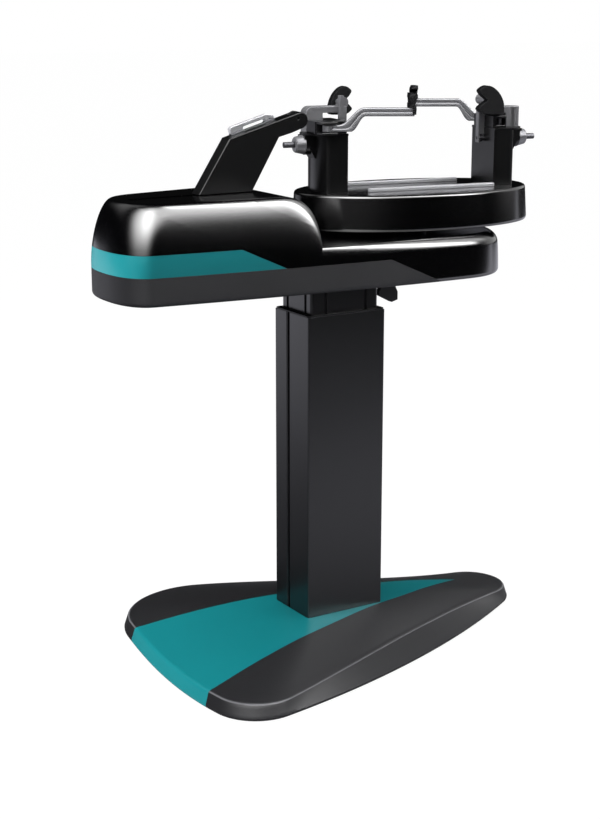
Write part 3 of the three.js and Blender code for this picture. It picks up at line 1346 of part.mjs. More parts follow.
// Drive: two guide rods in end blocks, a carriage on them, and a screw turned by the motor
function headCarriage() {
  const body = block(neckLeft, neckRight, -CARRIAGE_HALF, CARRIAGE_HALF, carriageBottom, carriageTop);
  const riser = block(neckLeft, neckRight, -NECK_WIDTH / 2, NECK_WIDTH / 2, carriageBottom, neckFoot);
  const tools = [-1, 1].map((side) => {
    const bore = rodX(GUIDE_RADIUS + FIT, neckLeft - OVERRUN, neckRight + OVERRUN);
    return bore.translate(0, side * GUIDE_SPREAD, guideZ);
  });
  const screwBore = rodX(DRIVE_RADIUS + FIT, neckLeft - OVERRUN, neckRight + OVERRUN);
  return cut(join(body, riser), ...tools, screwBore.translate(0, 0, driveZ));
}

function guideRail(side) {
  return rodX(GUIDE_RADIUS, guideLeft, guideRight).translate(0, side * GUIDE_SPREAD, guideZ);
}

function railBlock(x0) {
  const x1 = x0 + RAIL_BLOCK_THICKNESS;
  const body = block(x0, x1, -RAIL_BLOCK_HALF, RAIL_BLOCK_HALF, chassisTop + FIT, railBlockTop);
  const tools = [-1, 1].map((side) => {
    const socket = rodX(GUIDE_RADIUS + FIT, x0 - OVERRUN, x1 + OVERRUN);
    return socket.translate(0, side * GUIDE_SPREAD, guideZ);
  });
  const screwBore = rodX(DRIVE_RADIUS + FIT, x0 - OVERRUN, x1 + OVERRUN).translate(0, 0, driveZ);
  return cut(body, ...tools, screwBore);
}

const leftBlockX = guideLeft + RAIL_SOCKET - RAIL_BLOCK_THICKNESS;
const rightBlockX = guideRight - RAIL_SOCKET;
const driveMotorX = rightBlockX + RAIL_BLOCK_THICKNESS + FIT;

function driveScrew() {
  return rodX(DRIVE_RADIUS, leftBlockX, driveMotorX - 2 * FIT).translate(0, 0, driveZ);
}

function driveMotor() {
  const end = driveMotorX + DRIVE_MOTOR_LENGTH;
  const can = rodX(DRIVE_MOTOR_RADIUS, driveMotorX, end).translate(0, 0, driveZ);
  const footHalf = DRIVE_MOTOR_FOOT / 2;
  const foot = block(driveMotorX, end, -footHalf, footHalf, chassisTop + FIT, driveZ);
  return join(can, foot);
}

// Brake lever on its hanger
function brakeBracket() {
  const top = housingFloor - FIT;
  const half = BRAKE_LEVER_WIDTH / 2 + FIT;
  const outer = half + BRAKE_EAR;
  const body = block(
    BRAKE_X - BRAKE_HANGER_HALF,
    BRAKE_X + BRAKE_HANGER_HALF,
    -outer,
    outer,
    brakePivotZ - BRAKE_HUB_RADIUS,
    top,
  );
  const gap = block(
    BRAKE_X - BRAKE_HANGER_HALF - OVERRUN,
    BRAKE_X + BRAKE_HANGER_HALF + OVERRUN,
    -half,
    half,
    brakePivotZ - BRAKE_HUB_RADIUS - OVERRUN,
    brakePivotZ + BRAKE_HUB_RADIUS + FIT,
  );
  const pin = rodY(BRAKE_PIN_RADIUS, -outer, outer, SMALL_SIDES).translate(BRAKE_X, 0, brakePivotZ);
  return join(cut(body, gap), pin);
}

function brakeLever() {
  const half = BRAKE_LEVER_WIDTH / 2;
  const fin = across(
    polygon([
      [BRAKE_X - BRAKE_LEVER_REACH, leverSide],
      [BRAKE_X + BRAKE_HUB_RADIUS, leverTip],
      [BRAKE_X + BRAKE_LEVER_REACH, leverTip + BRAKE_EAR],
      [BRAKE_X + BRAKE_LEVER_REACH, leverSide + BRAKE_EAR],
      [BRAKE_X + BRAKE_HUB_RADIUS, brakePivotZ],
      [BRAKE_X - BRAKE_HUB_RADIUS, brakePivotZ],
      [BRAKE_X - BRAKE_LEVER_REACH, leverSide + 2 * BRAKE_EAR],
    ]),
    -half,
    half,
  );
  const hub = rodY(BRAKE_HUB_RADIUS, -half, half).translate(BRAKE_X, 0, brakePivotZ);
  const bore = rodY(BRAKE_PIN_RADIUS + FIT, -half - OVERRUN, half + OVERRUN, SMALL_SIDES);
  return cut(join(fin, hub), bore.translate(BRAKE_X, 0, brakePivotZ));
}

// Mains inlet with its rocker switch, in the tray's floor
const inletFace = housingFloor - FIT - INLET_FLANGE_THICKNESS;

function powerInlet() {
  const halfLength = INLET_LENGTH / 2;
  const halfWidth = INLET_WIDTH / 2;
  const body = block(-halfLength, halfLength, -halfWidth, halfWidth, inletFace, inletFace + INLET_DEPTH);
  const flange = block(
    -halfLength - INLET_FLANGE,
    halfLength + INLET_FLANGE,
    -halfWidth - INLET_FLANGE,
    halfWidth + INLET_FLANGE,
    inletFace,
    inletFace + INLET_FLANGE_THICKNESS,
  );
  const socket = block(
    -SWITCH_OFFSET - SOCKET_LENGTH / 2,
    -SWITCH_OFFSET + SOCKET_LENGTH / 2,
    -SOCKET_WIDTH / 2,
    SOCKET_WIDTH / 2,
    inletFace - OVERRUN,
    inletFace + SOCKET_DEPTH,
  );
  const rockerRoom = block(
    SWITCH_OFFSET - SWITCH_LENGTH / 2 - 2 * FIT,
    SWITCH_OFFSET + SWITCH_LENGTH / 2 + 2 * FIT,
    -SWITCH_WIDTH / 2 - FIT,
    SWITCH_WIDTH / 2 + FIT,
    inletFace - OVERRUN,
    inletFace + SWITCH_DEPTH,
  );
  const pins = [-1, 0, 1].map((place) => {
    const x = -SWITCH_OFFSET + place * (SOCKET_LENGTH / 3);
    const y = place === 0 ? SOCKET_PIN : -SOCKET_PIN;
    const foot = inletFace + SOCKET_PIN_START;
    const root = inletFace + INLET_DEPTH;
    return block(x - SOCKET_PIN / 2, x + SOCKET_PIN / 2, y - SOCKET_PIN, y + SOCKET_PIN, foot, root);
  });
  return join(cut(join(body, flange), socket, rockerRoom), ...pins).translate(INLET_X, INLET_Y, 0);
}

function powerSwitch() {
  const half = SWITCH_LENGTH / 2;
  const outline = polygon([
    [-half, inletFace],
    [0, inletFace - SWITCH_PROUD / 2],
    [half, inletFace - SWITCH_PROUD],
    [half - SWITCH_PROUD, inletFace + SWITCH_PIVOT_RADIUS],
    [SWITCH_PROUD, inletFace + SWITCH_DEPTH - 2 * SWITCH_PROUD],
    [-SWITCH_PROUD, inletFace + SWITCH_DEPTH - 2 * SWITCH_PROUD],
    [-half + SWITCH_PROUD, inletFace + SWITCH_PIVOT_RADIUS],
  ]);
  const rocker = across(outline, -SWITCH_WIDTH / 2, SWITCH_WIDTH / 2);
  return rocker.translate(INLET_X + SWITCH_OFFSET, INLET_Y, 0);
}

// Finishes
const glossBlack = material(0x0c0d0f, 0.15, 0);
const satinBlack = material(0x1c1d20, 0.45, 0);
const mattGrey = material(0x2b2c30, 0.6, 0);
const teal = material(0x14888f, 0.35, 0);
const blackAnodised = material(0x2a2a2e, 0.4, 0.6);
const silver = material(0x9b9ca0, 0.3, 0.9);
const steel = material(0x7c7d80, 0.45, 0.9);
const rubber = material(0x101113, 0.8, 0);
const headBlue = material(0x23262e, 0.4, 0.3);

// Assembly
function baseGroup() {
  const shell = baseShell();
  const parts = [
    node("base_plate", basePlate(), steel),
    node("base_cover", cut(shell, stripeWedge(FIT)), satinBlack),
    node("base_stripe", common(shell, stripeWedge(0)), teal),
    node("column_flange", columnFlange(), steel),
    node("outer_column", outerColumn(), blackAnodised),
    node("column_collar", columnCollar(), satinBlack),
    node("lift_motor", liftMotor(), steel),
    node("lift_screw", liftScrew(), silver),
  ];
  const places = [
    ["foot_pad_rear_front", -FOOT_REAR, -FOOT_REAR_SPREAD],
    ["foot_pad_rear_back", -FOOT_REAR, FOOT_REAR_SPREAD],
    ["foot_pad_tip_front", FOOT_TIP, -FOOT_TIP_SPREAD],
    ["foot_pad_tip_back", FOOT_TIP, FOOT_TIP_SPREAD],
  ];
  for (const [name, x, y] of places) {
    const pad = node(name, footPad(), rubber);
    pad.position.set(x, y, 0);
    parts.push(pad);
  }
  return group(...parts);
}

function housingGroup() {
  const shell = housingShell();
  return group(
    node("inner_column", innerColumn(), blackAnodised),
    node("lift_nut", liftNut(), steel),
    node("chassis_plate", chassisPlate(), steel),
    node("lower_tray", common(shell, trayRegion(0)), mattGrey),
    node("teal_band", common(shell, bandRegion(0)), teal),
    node("upper_cover", cut(shell, trayRegion(SEAM), bandRegion(SEAM)), glossBlack),
    node("brake_bracket", brakeBracket(), steel),
    node("brake_lever", brakeLever(), satinBlack),
    node("power_inlet", powerInlet(), satinBlack),
    node("power_switch", powerSwitch(), satinBlack),
    node("guide_rail_front", guideRail(-1), silver),
    node("guide_rail_back", guideRail(1), silver),
    node("rail_block_left", railBlock(leftBlockX), steel),
    node("rail_block_right", railBlock(rightBlockX), steel),
    node("drive_screw", driveScrew(), silver),
    node("drive_motor", driveMotor(), steel),
  );
}

function spindleGroup() {
  const stack = group(
    node("spindle_housing", spindleHousing(), steel),
    node("spindle_bearing_lower", bearing(lowerBearingZ), silver),
    node("spindle_bearing_upper", bearing(upperBearingZ), silver),
    node("spindle", spindle(), silver),
  );
  stack.position.x = SPINDLE_X;
  return stack;
}

function supportGroup(side, raiseBy, armSide) {
  const arm = group(
    node("side_arm_" + armSide, sideArm(), silver),
    node("side_claw_" + armSide, sideClaw(), rubber),
  );
  arm.position.set(ARM_PIN_U, ARM_PIN_V, 0);
  arm.rotation.z = armDirection;
  return group(
    node("tower_post_" + side, towerPost(), satinBlack),
    node("support_head_" + side, supportHead(), satinBlack),
    node("clamp_bolt_" + side, clampBolt(), silver),
    node("frame_bracket_" + side, frameBracket(raiseBy), silver),
    node("frame_pad_" + side, framePad(), rubber),
    node("adjust_screw_" + side, adjustScrew(), silver),
    node("adjust_knob_" + side, adjustKnob(), silver),
    arm,
  );
}

function turntableGroup() {
  const left = supportGroup("left", LEFT_RAISE, "near");
  left.rotation.z = Math.PI;
  const table = group(
    node("turntable_cover", turntableCover(), glossBlack),
    node("turntable_frame", turntableFrame(), steel),
    node("clamp_rail_near", clampRail(-1), silver),
    node("clamp_rail_far", clampRail(1), silver),
    supportGroup("right", 0, "far"),
    left,
  );
  table.position.x = SPINDLE_X;
  table.rotation.z = radians(TABLE_TURN);
  return table;
}

function tensionGroup() {
  const gripper = group(
    node("gripper_lower", gripperLower(), steel),
    node("gripper_upper", gripperUpper(), silver),
  );
  gripper.position.set(GRIPPER_X, 0, gripperZ);
  gripper.rotation.y = -armSlope;
  return group(
    node("head_tower", headTower(), headBlue),
    node("head_carriage", headCarriage(), steel),
    node("nose_roller", noseRoller(), rubber),
    node("roller_axle", rollerAxle(), silver),
    gripper,
  );
}

const machine = group(baseGroup(), housingGroup(), spindleGroup(), turntableGroup(), tensionGroup());
const span = new THREE.Box3().setFromObject(machine, true);
machine.position.x = -(span.min.x + span.max.x) / 2;
machine.position.y = -(span.min.y + span.max.y) / 2;

export default group(machine);
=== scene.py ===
import json
import math

import bmesh
import bpy
from mathutils import Matrix, Vector

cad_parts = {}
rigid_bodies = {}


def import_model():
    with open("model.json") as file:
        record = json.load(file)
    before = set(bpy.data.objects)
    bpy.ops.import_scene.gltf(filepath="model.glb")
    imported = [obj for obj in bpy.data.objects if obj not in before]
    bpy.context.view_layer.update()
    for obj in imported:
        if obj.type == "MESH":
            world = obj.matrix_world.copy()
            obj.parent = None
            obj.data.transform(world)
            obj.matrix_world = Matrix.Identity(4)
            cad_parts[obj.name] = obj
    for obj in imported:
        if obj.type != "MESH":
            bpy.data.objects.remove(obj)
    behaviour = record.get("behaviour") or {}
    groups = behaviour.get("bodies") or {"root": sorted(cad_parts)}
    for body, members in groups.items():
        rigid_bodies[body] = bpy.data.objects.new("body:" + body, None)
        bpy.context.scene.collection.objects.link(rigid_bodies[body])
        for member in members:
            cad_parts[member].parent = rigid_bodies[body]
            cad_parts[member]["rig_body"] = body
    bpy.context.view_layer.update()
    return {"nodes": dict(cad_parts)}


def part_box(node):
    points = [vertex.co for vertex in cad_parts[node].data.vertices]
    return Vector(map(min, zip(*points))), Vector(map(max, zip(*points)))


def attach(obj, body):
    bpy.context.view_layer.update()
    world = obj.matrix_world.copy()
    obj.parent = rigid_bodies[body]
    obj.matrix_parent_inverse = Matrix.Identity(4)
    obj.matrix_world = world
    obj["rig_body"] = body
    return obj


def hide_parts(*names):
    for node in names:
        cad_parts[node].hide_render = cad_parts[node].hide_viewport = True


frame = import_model()

# Studio. The machine stands on a pale floor, with a wide soft light at its left end, a second
# one high in front of it and open shade behind. Gloss alone sees the soft boxes in the room's
# walls and the pools of light on the dim floor.
CAMERA_PLACE = (-1.755126, -2.76244, 1.35097)
CAMERA_DIP = 14.62
CAMERA_TURN = 31.62
CAMERA_LENS = 71.12
SENSOR_WIDTH = 36
FLOOR_HALF = 30
FLOOR_SPECKS = 40
FLOOR_GLOW, FLOOR_GLOW_SHARE = 1.06, 0.93
ROOM_FILL, ROOM_DIM = 0.2, 0.004
# A patch of light has a middle, a half width and a softness along its two directions, and a
# level. Pools lie along X and Y in metres, the first one over the floor's whole width
FLOOR_POOLS = (
    ((0, 60, 1), (-1.1, 0.6, 0.7), 0.8),
    ((4.0, 3.0, 2.0), (1.5, 2.5, 1.5), 0.7),
    ((-3.2, 2.4, 1.4), (6.0, 4.6, 2.2), 1.3),
)
# Boxes are placed by their turn from the machine's front and by their height, in degrees
ROOM_BOXES = (
    ((-54, 32, 18), (45, 26, 18), 7.5),
    ((-14, 46, 13), (52, 22, 13), 6.0),
    ((38, 5, 9), (46, 28, 9), 22.0),
    ((66, 14, 12), (46, 16, 12), 3.0),
    ((92, 30, 13), (8, 28, 13), 0.8),
    ((-146, 22, 14), (52, 22, 14), 0.6),
)
# Each lamp's place, what it faces, its width, height and watts
LAMPS = {
    "left_light": ((-3.0, 0.3, 1.6), (0, 0, 0.6), 1.6, 1.6, 85),
    "top_light": ((0.2, 0.1, 3.0), (0, 0, 0.5), 2.4, 1.6, 62),
    "right_light": ((3.0, -1.8, 1.8), (0, 0, 0.8), 1.2, 2.0, 10),
}


def linear(code):
    """An sRGB hex code as a linear colour."""
    shares = [int(code[i:i + 2], 16) / 255 for i in (1, 3, 5)]
    return [s / 12.92 if s <= 0.04045 else ((s + 0.055) / 1.055) ** 2.4 for s in shares] + [1]


def add_node(tree, kind, settings={}, inputs={}):
    """Adds a node. An input is a value, a socket or a node whose first output feeds it."""
    node = tree.nodes.new(kind)
    for name, value in settings.items():
        setattr(node, name, value)
    for name, value in inputs.items():
        if isinstance(value, bpy.types.Node):
            value = value.outputs[0]
        if isinstance(value, bpy.types.NodeSocket):
            tree.links.new(value, node.inputs[name])
        else:
            node.inputs[name].default_value = value
    return node


def new_material(name):
    material = bpy.data.materials.new(name)
    material.use_nodes = True
    material.node_tree.nodes.clear()
    return material, material.node_tree


def soft_step(tree, value, middle, half, soft, level=1.0):
    """Level inside half of middle, falling to nothing over twice soft."""
    beside = add_node(tree, "ShaderNodeMath", {"operation": "SUBTRACT"}, {0: value, 1: middle})
    away = add_node(tree, "ShaderNodeMath", {"operation": "ABSOLUTE"}, {0: beside})
    return add_node(tree, "ShaderNodeMapRange", {"interpolation_type": "SMOOTHSTEP"}, {
        "Value": away, "From Min": half + soft, "From Max": max(half - soft, 0), "To Max": level})


def patches_of_light(tree, across, along, patches):
    """The dim level of the room, with each patch of light added to it."""
    light = ROOM_DIM
    for wide, deep, level in patches:
        light = add_node(tree, "ShaderNodeMath", {"operation": "MULTIPLY_ADD"}, {
            0: soft_step(tree, across, *wide, level), 1: soft_step(tree, along, *deep), 2: light})
    return light


# Matt white floor paint: no gloss, the white of the room with a faint soft shadow. Its mirror
# image in gloss is dim, with pools of light in front of the machine, behind it and to its left
floor_paint, tree = new_material("floor_paint")
ray = add_node(tree, "ShaderNodeLightPath")
where = add_node(tree, "ShaderNodeTexCoord").outputs["Object"]
specks = add_node(tree, "ShaderNodeTexNoise", inputs={"Vector": where, "Scale": FLOOR_SPECKS})
tone = add_node(tree, "ShaderNodeMix", {"data_type": "RGBA"}, {
    0: specks, 6: linear("#d8d8d8"), 7: linear("#dedede")})
matt = add_node(tree, "ShaderNodeBsdfDiffuse", inputs={"Color": tone.outputs[2]})
glow = add_node(tree, "ShaderNodeEmission", inputs={"Color": (1, 1, 1, 1), "Strength": FLOOR_GLOW})
faint = add_node(tree, "ShaderNodeMixShader", inputs={0: FLOOR_GLOW_SHARE, 1: matt, 2: glow})
place = add_node(tree, "ShaderNodeSeparateXYZ", inputs={0: where})
pools = patches_of_light(tree, place.outputs[0], place.outputs[1], FLOOR_POOLS)
dim = add_node(tree, "ShaderNodeEmission", inputs={"Color": linear("#f4f4ff"), "Strength": pools})
seen = add_node(tree, "ShaderNodeMixShader", inputs={
    0: ray.outputs["Is Camera Ray"], 1: matt, 2: faint})
mirrored = add_node(tree, "ShaderNodeMixShader", inputs={
    0: ray.outputs["Is Glossy Ray"], 1: seen, 2: dim})
add_node(tree, "ShaderNodeOutputMaterial", inputs={"Surface": mirrored})
floor_mesh = bpy.data.meshes.new("floor")
corners = [(x * FLOOR_HALF, y * FLOOR_HALF, 0) for x, y in ((-1, -1), (1, -1), (1, 1), (-1, 1))]
floor_mesh.from_pydata(corners, [], [(0, 1, 2, 3)])
floor_mesh.materials.append(floor_paint)
floor = bpy.data.objects.new("floor", floor_mesh)
bpy.context.scene.collection.objects.link(floor)

room = bpy.data.worlds.new("room")
room.use_nodes = True
tree = room.node_tree
tree.nodes.clear()
ray = add_node(tree, "ShaderNodeLightPath")
where = add_node(tree, "ShaderNodeTexCoord").outputs["Generated"]
ways = add_node(tree, "ShaderNodeSeparateXYZ", inputs={0: where}).outputs
ahead = add_node(tree, "ShaderNodeMath", {"operation": "MULTIPLY"}, {0: ways[1], 1: -1.0})
angles = []
for operation, sides in (("ARCTAN2", {0: ways[0], 1: ahead}), ("ARCSINE", {0: ways[2]})):
    angle = add_node(tree, "ShaderNodeMath", {"operation": operation}, sides)
    angles.append(add_node(tree, "ShaderNodeMath", {"operation": "DEGREES"}, {0: angle}))
gloss, fill, white = (
    add_node(tree, "ShaderNodeBackground", inputs={"Color": (1, 1, 1, 1), "Strength": level})
    for level in (patches_of_light(tree, *angles, ROOM_BOXES), ROOM_FILL, 1.0))
mixed = add_node(tree, "ShaderNodeMixShader", inputs={
    0: ray.outputs["Is Glossy Ray"], 1: fill, 2: gloss})
seen = add_node(tree, "ShaderNodeMixShader", inputs={
    0: ray.outputs["Is Camera Ray"], 1: mixed, 2: white})
add_node(tree, "ShaderNodeOutputWorld", inputs={"Surface": seen})
bpy.context.scene.world = room

for name, (place, target, width, height, watts) in LAMPS.items():
    lamp = bpy.data.lights.new(name, "AREA")
    lamp.shape = "RECTANGLE"
    lamp.size, lamp.size_y, lamp.energy = width, height, watts
    holder = bpy.data.objects.new(name, lamp)
    bpy.context.scene.collection.objects.link(holder)
    holder.location = place
    holder.rotation_euler = (Vector(target) - Vector(place)).to_track_quat("-Z", "Y").to_euler()
    holder.visible_glossy = False

camera_lens = bpy.data.cameras.new("camera")
camera_lens.lens = CAMERA_LENS
camera_lens.sensor_width = SENSOR_WIDTH
camera = bpy.data.objects.new("camera", camera_lens)
bpy.context.scene.collection.objects.link(camera)
camera.location = CAMERA_PLACE
camera.rotation_euler = (math.radians(90 - CAMERA_DIP), 0, math.radians(-CAMERA_TURN))
bpy.context.scene.camera = camera
bpy.context.scene.view_settings.view_transform = "Standard"


# Base. A moulded cover over a steel plate: black on both wings, with a teal wedge that runs
# from the wide end to a point. Four rubber feet are pressed into the plate.
MM = 0.001
column_low, column_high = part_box("outer_column")
AXIS = (column_low + column_high) / 2
CORNER_STEPS = 16
FLANK_STEPS = 40
# Sizes are in millimetres, and places are measured from the column's axis and the floor. A side
# of the base has its reach to the rear, its half width and the radius of its wide corner
BASE_NEAR = (409.3, 325.2, 97.7)
BASE_FAR = (391.2, 338.7, 178.4)
BASE_TIP, BASE_TIP_RADIUS = 468.6, 82.1
# Degrees: the bow of the rear, and where the flank leaves the corner and meets the tip
REAR_LEAN = 10
FOOT_LINE = (8.9, 30.1)
SHOULDER_LINE = (19.6, 12.3)
CURVE_HANDLE = 0.33
BASE_FLOOR, BASE_LIP, LIP_INSET = 3, 9, 3
SHOULDER_Z, SHOULDER_INSET, SHOULDER_ROUND, SHOULDER_POWER = 34.6, 8.9, 3, 1.6
DOME_TOP, DOME_CROWN = 72, 1.5
DOME_SHARES = (0.05, 0.1, 0.16, 0.24, 0.34, 0.45, 0.57, 0.7, 0.82, 0.92, 1)
PLATEAU_HALF = (114.4, 87.65)
BASE_WALL = 4
COLUMN_HALF, COLUMN_RADIUS, COLUMN_GAP = (92.4, 65.65), 9, 1
OPENING_Z = (30, 90)
WEDGE_NEAR, WEDGE_FAR, WEDGE_TIP = 205, 165, 340
WEDGE_WIDE = -507
WEDGE_GAP = 0.3
# Noise per metre: slow tone over a hand's width, and scuffed patches of a finger's width
CLOUD_SCALE, SCUFF_SCALE = 6, 55
GRAIN_DEPTH, COAT_ROUGHNESS = 0.0004, 0.15
EDGE_ANGLE = math.radians(32)
FLAT_ANGLE = math.radians(0.6)


def coated(name, base, roughness, metallic=0.0, grain=0.0, grain_mm=1.0, coat=0.0, level=0.5,
           shade=0.12, wear=0.0, painted_edge_highlight=None):
    """A painted, moulded or plated finish: slow tone, fine grain and, with wear, rougher scuffed patches.

    painted_edge_highlight gives the height, half width, softness and colour of a painted highlight:
    a lighter band all round at one height that stands in for the light an edge catches."""
    material, tree = new_material(name)
    where = add_node(tree, "ShaderNodeTexCoord").outputs["Object"]
    cloud, fine, scuffs = (
        add_node(tree, "ShaderNodeTexNoise", inputs={
            "Vector": where, "Scale": scale, "Detail": detail, "Distortion": twist})
        for scale, detail, twist in ((CLOUD_SCALE, 3, 0), (1000 / grain_mm, 2, 0), (SCUFF_SCALE, 6, 1.2)))
    worn = add_node(tree, "ShaderNodeMapRange", inputs={
        "Value": scuffs, "From Min": 0.6, "From Max": 0.8, "To Max": wear})
    dark, pale = ([c * share for c in linear(base)[:3]] + [1] for share in (1 - shade, 1 + shade))
    tone = add_node(tree, "ShaderNodeMix", {"data_type": "RGBA"}, {0: cloud, 6: dark, 7: pale}).outputs[2]
    # Painted highlight: a lighter colour mixed in along a band at one height, in place of the light an edge
    # catches
    if painted_edge_highlight:
        height = add_node(tree, "ShaderNodeSeparateXYZ", inputs={0: where}).outputs[2]
        line = soft_step(tree, height, *(size * MM for size in painted_edge_highlight[:3]))
        tone = add_node(tree, "ShaderNodeMix", {"data_type": "RGBA"}, {
            0: line, 6: tone, 7: linear(painted_edge_highlight[3])}).outputs[2]
    rough = add_node(tree, "ShaderNodeMapRange", inputs={
        "Value": cloud, "To Min": roughness * 0.88, "To Max": roughness * 1.12})
    rough = add_node(tree, "ShaderNodeMath", {"operation": "ADD"}, {0: rough, 1: worn})
    bump = add_node(tree, "ShaderNodeBump", inputs={
        "Height": fine, "Strength": grain, "Distance": GRAIN_DEPTH})
    shader = add_node(tree, "ShaderNodeBsdfPrincipled", inputs={
        "Base Color": tone, "Roughness": rough, "Normal": bump, "Metallic": metallic,
        "Specular IOR Level": level, "Coat Weight": coat, "Coat Roughness": COAT_ROUGHNESS})
    add_node(tree, "ShaderNodeOutputMaterial", inputs={"Surface": shader})
    return material


def own(name, mesh, material, node, replace=True):
    """A finished piece that stands for a CAD node, or is added to it, and rides on its body."""
    piece = bpy.data.objects.new(name, mesh)
    bpy.context.scene.collection.objects.link(piece)
    mesh.materials.clear()
    mesh.materials.append(material)
    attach(piece, frame["nodes"][node]["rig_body"])
    if replace:
        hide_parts(node)
    return piece


def shaded(name, form, sharp=30):
    """The mesh of a bmesh: smooth, with a crease where two faces turn by more than sharp degrees."""
    for face in form.faces:
        face.smooth = True
    for edge in form.edges:
        edge.smooth = len(edge.link_faces) == 2 and edge.calc_face_angle() < math.radians(sharp)
    mesh = bpy.data.meshes.new(name)
    form.to_mesh(mesh)
    form.free()
    return mesh


def bevelled(piece, width=0.4, steps=2):
    """Breaks a piece's edges and keeps its flat faces flat in the light."""
    edge = piece.modifiers.new("edge", "BEVEL")
    edge.width, edge.segments, edge.limit_method = width * MM, steps, "ANGLE"
    edge.angle_limit = EDGE_ANGLE
    flats = piece.modifiers.new("flats", "WEIGHTED_NORMAL")
    flats.keep_sharp = True
    return piece


def copied(node):
    """A CAD node's own shape, merged, with the facets of each flat face joined."""
    form = bmesh.new()
    form.from_mesh(frame["nodes"][node].data)
    bmesh.ops.remove_doubles(form, verts=form.verts, dist=0.00001)
    bmesh.ops.dissolve_limit(form, angle_limit=FLAT_ANGLE, verts=form.verts, edges=form.edges)
    return form


def refined(node, material, width=0.4, steps=2):
    """A CAD node's own shape with its facets joined, its rounds smooth and its edges broken."""
    return bevelled(own(node + "_piece", shaded(node, copied(node)), material, node), width, steps)


def placed(form, places):
    """New vertices at places in millimetres from the column's axis."""
    return [form.verts.new((x * MM + AXIS.x, y * MM + AXIS.y, z * MM)) for x, y, z in places]


def lofted(rings):
    """A closed skin through rings of (x, y, z) in millimetres from the column's axis."""
    count = len(rings[0])
    form = bmesh.new()
    points = placed(form, [place for ring in rings for place in ring])
    for level in range(len(rings) - 1):
        for i in range(count):
            a, b = level * count + i, level * count + (i + 1) % count
            form.faces.new([points[j] for j in (a, b, b + count, a + count)])
    for start, way in ((0, -1), ((len(rings) - 1) * count, 1)):
        for i in range(count // 2):
            strip = []
            for j in (i, i + 1, count - i - 1, (count - i) % count):
                if start + j not in strip:
                    strip.append(start + j)
            if len(strip) > 2:
                form.faces.new([points[j] for j in strip[::way]])
    bmesh.ops.recalc_face_normals(form, faces=form.faces)
    return form


def arc(x, y, radius, start, end, steps):
    turns = [start + (end - start) * i / steps for i in range(steps + 1)]
    return [(x + radius * math.cos(turn), y + radius * math.sin(turn)) for turn in turns]


def on_curve(points, share):
    """The place at a share of the curve that four points draw."""
    left = 1 - share
    parts = (left ** 3, 3 * share * left ** 2, 3 * share ** 2 * left, share ** 3)
    return tuple(sum(part * value for part, value in zip(parts, line)) for line in zip(*points))


def curve(start, leaving, end, arriving, steps):
    """The points between two ends of a curve that leaves and arrives at given angles."""
    reach = CURVE_HANDLE * math.dist(start, end)
    one = (start[0] + reach * math.cos(leaving), start[1] + reach * math.sin(leaving))
    two = (end[0] - reach * math.cos(arriving), end[1] - reach * math.sin(arriving))
    return [on_curve((start, one, two, end), i / steps) for i in range(1, steps)]


def base_side(size, inset, line):
    """One side of the base, from the middle of the rear to the tip, drawn in the near half."""
    rear, half, radius = size
    leave, arrive = (math.radians(turn) for turn in line)
    down = -math.pi / 2
    start = math.radians(REAR_LEAN) - math.pi
    corner = arc(radius - rear, radius - half, radius - inset, start, down + leave, 2 * CORNER_STEPS)
    tip = arc(BASE_TIP - BASE_TIP_RADIUS, 0, BASE_TIP_RADIUS - inset, down + arrive, 0, CORNER_STEPS)
    return corner + curve(corner[-1], leave, tip[0], arrive, FLANK_STEPS) + tip


def base_outline(inset, line):
    near = base_side(BASE_NEAR, inset, line)
    far = [(x, -y) for x, y in base_side(BASE_FAR, inset, line)][::-1]
    lean = math.radians(REAR_LEAN)
    rear = curve(far[-1], -math.pi / 2 - lean, near[0], -math.pi / 2 + lean, FLANK_STEPS)
    return near + far[1:] + rear


def blended(one, two, share):
    return [(a[0] + (b[0] - a[0]) * share, a[1] + (b[1] - a[1]) * share) for a, b in zip(one, two)]


def level(outline, z):
    return [(x, y, z) for x, y in outline]


def base_rings():
    """The base's skin from the floor over the lip, the side and the shoulder to the plateau."""
    rings = []
    for i in range(4):
        turn = math.pi / 6 * i
        inset = LIP_INSET * (1 - math.sin(turn))
        z = BASE_LIP - (BASE_LIP - BASE_FLOOR) * math.cos(turn)
        rings.append(level(base_outline(inset, FOOT_LINE), z))
    foot = base_outline(0, FOOT_LINE)
    shoulder = base_outline(SHOULDER_INSET - SHOULDER_ROUND / 2, SHOULDER_LINE)
    side_top = SHOULDER_Z - SHOULDER_ROUND
    for share in (0.25, 0.5, 0.75, 1):
        rings.append(level(blended(foot, shoulder, share), BASE_LIP + (side_top - BASE_LIP) * share))
    edge = base_outline(SHOULDER_INSET, SHOULDER_LINE)
    plateau = []
    for x, y in edge:
        reach = math.hypot(x / PLATEAU_HALF[0], y / PLATEAU_HALF[1])
        plateau.append((x / reach, y / reach))
    dome = []
    for share in DOME_SHARES:
        rise = 1 - (1 - share) ** DOME_CROWN
        dome.append((blended(edge, plateau, share), SHOULDER_Z + (DOME_TOP - SHOULDER_Z) * rise))
    start, start_z = dome[0]
    for share in (0.25, 0.5, 0.75):
        bend = 1 - (1 - share) ** 2
        ring = blended(shoulder, start, share ** SHOULDER_POWER)
        rings.append(level(ring, side_top + (start_z - side_top) * bend))
    return rings + [level(*ring) for ring in dome]


def parted(form, planes):
    """Cuts the faces of a skin along planes, each a point and a direction in millimetres."""
    for point, way in planes:
        place = Vector((point[0] * MM + AXIS.x, point[1] * MM + AXIS.y, point[2] * MM))
        everything = form.verts[:] + form.edges[:] + form.faces[:]
        bmesh.ops.bisect_plane(form, geom=everything, plane_co=place, plane_no=Vector(way), dist=0.0000001)


def kept(form, keep):
    """A copy of a skin with only the faces whose middle, in millimetres, passes keep."""
    part = form.copy()
    lost = []
    for face in part.faces:
        middle = face.calc_center_median()
        if not keep((middle.x - AXIS.x) / MM, (middle.y - AXIS.y) / MM, middle.z / MM):
            lost.append(face)
    bmesh.ops.delete(part, geom=lost, context="FACES")
    return part


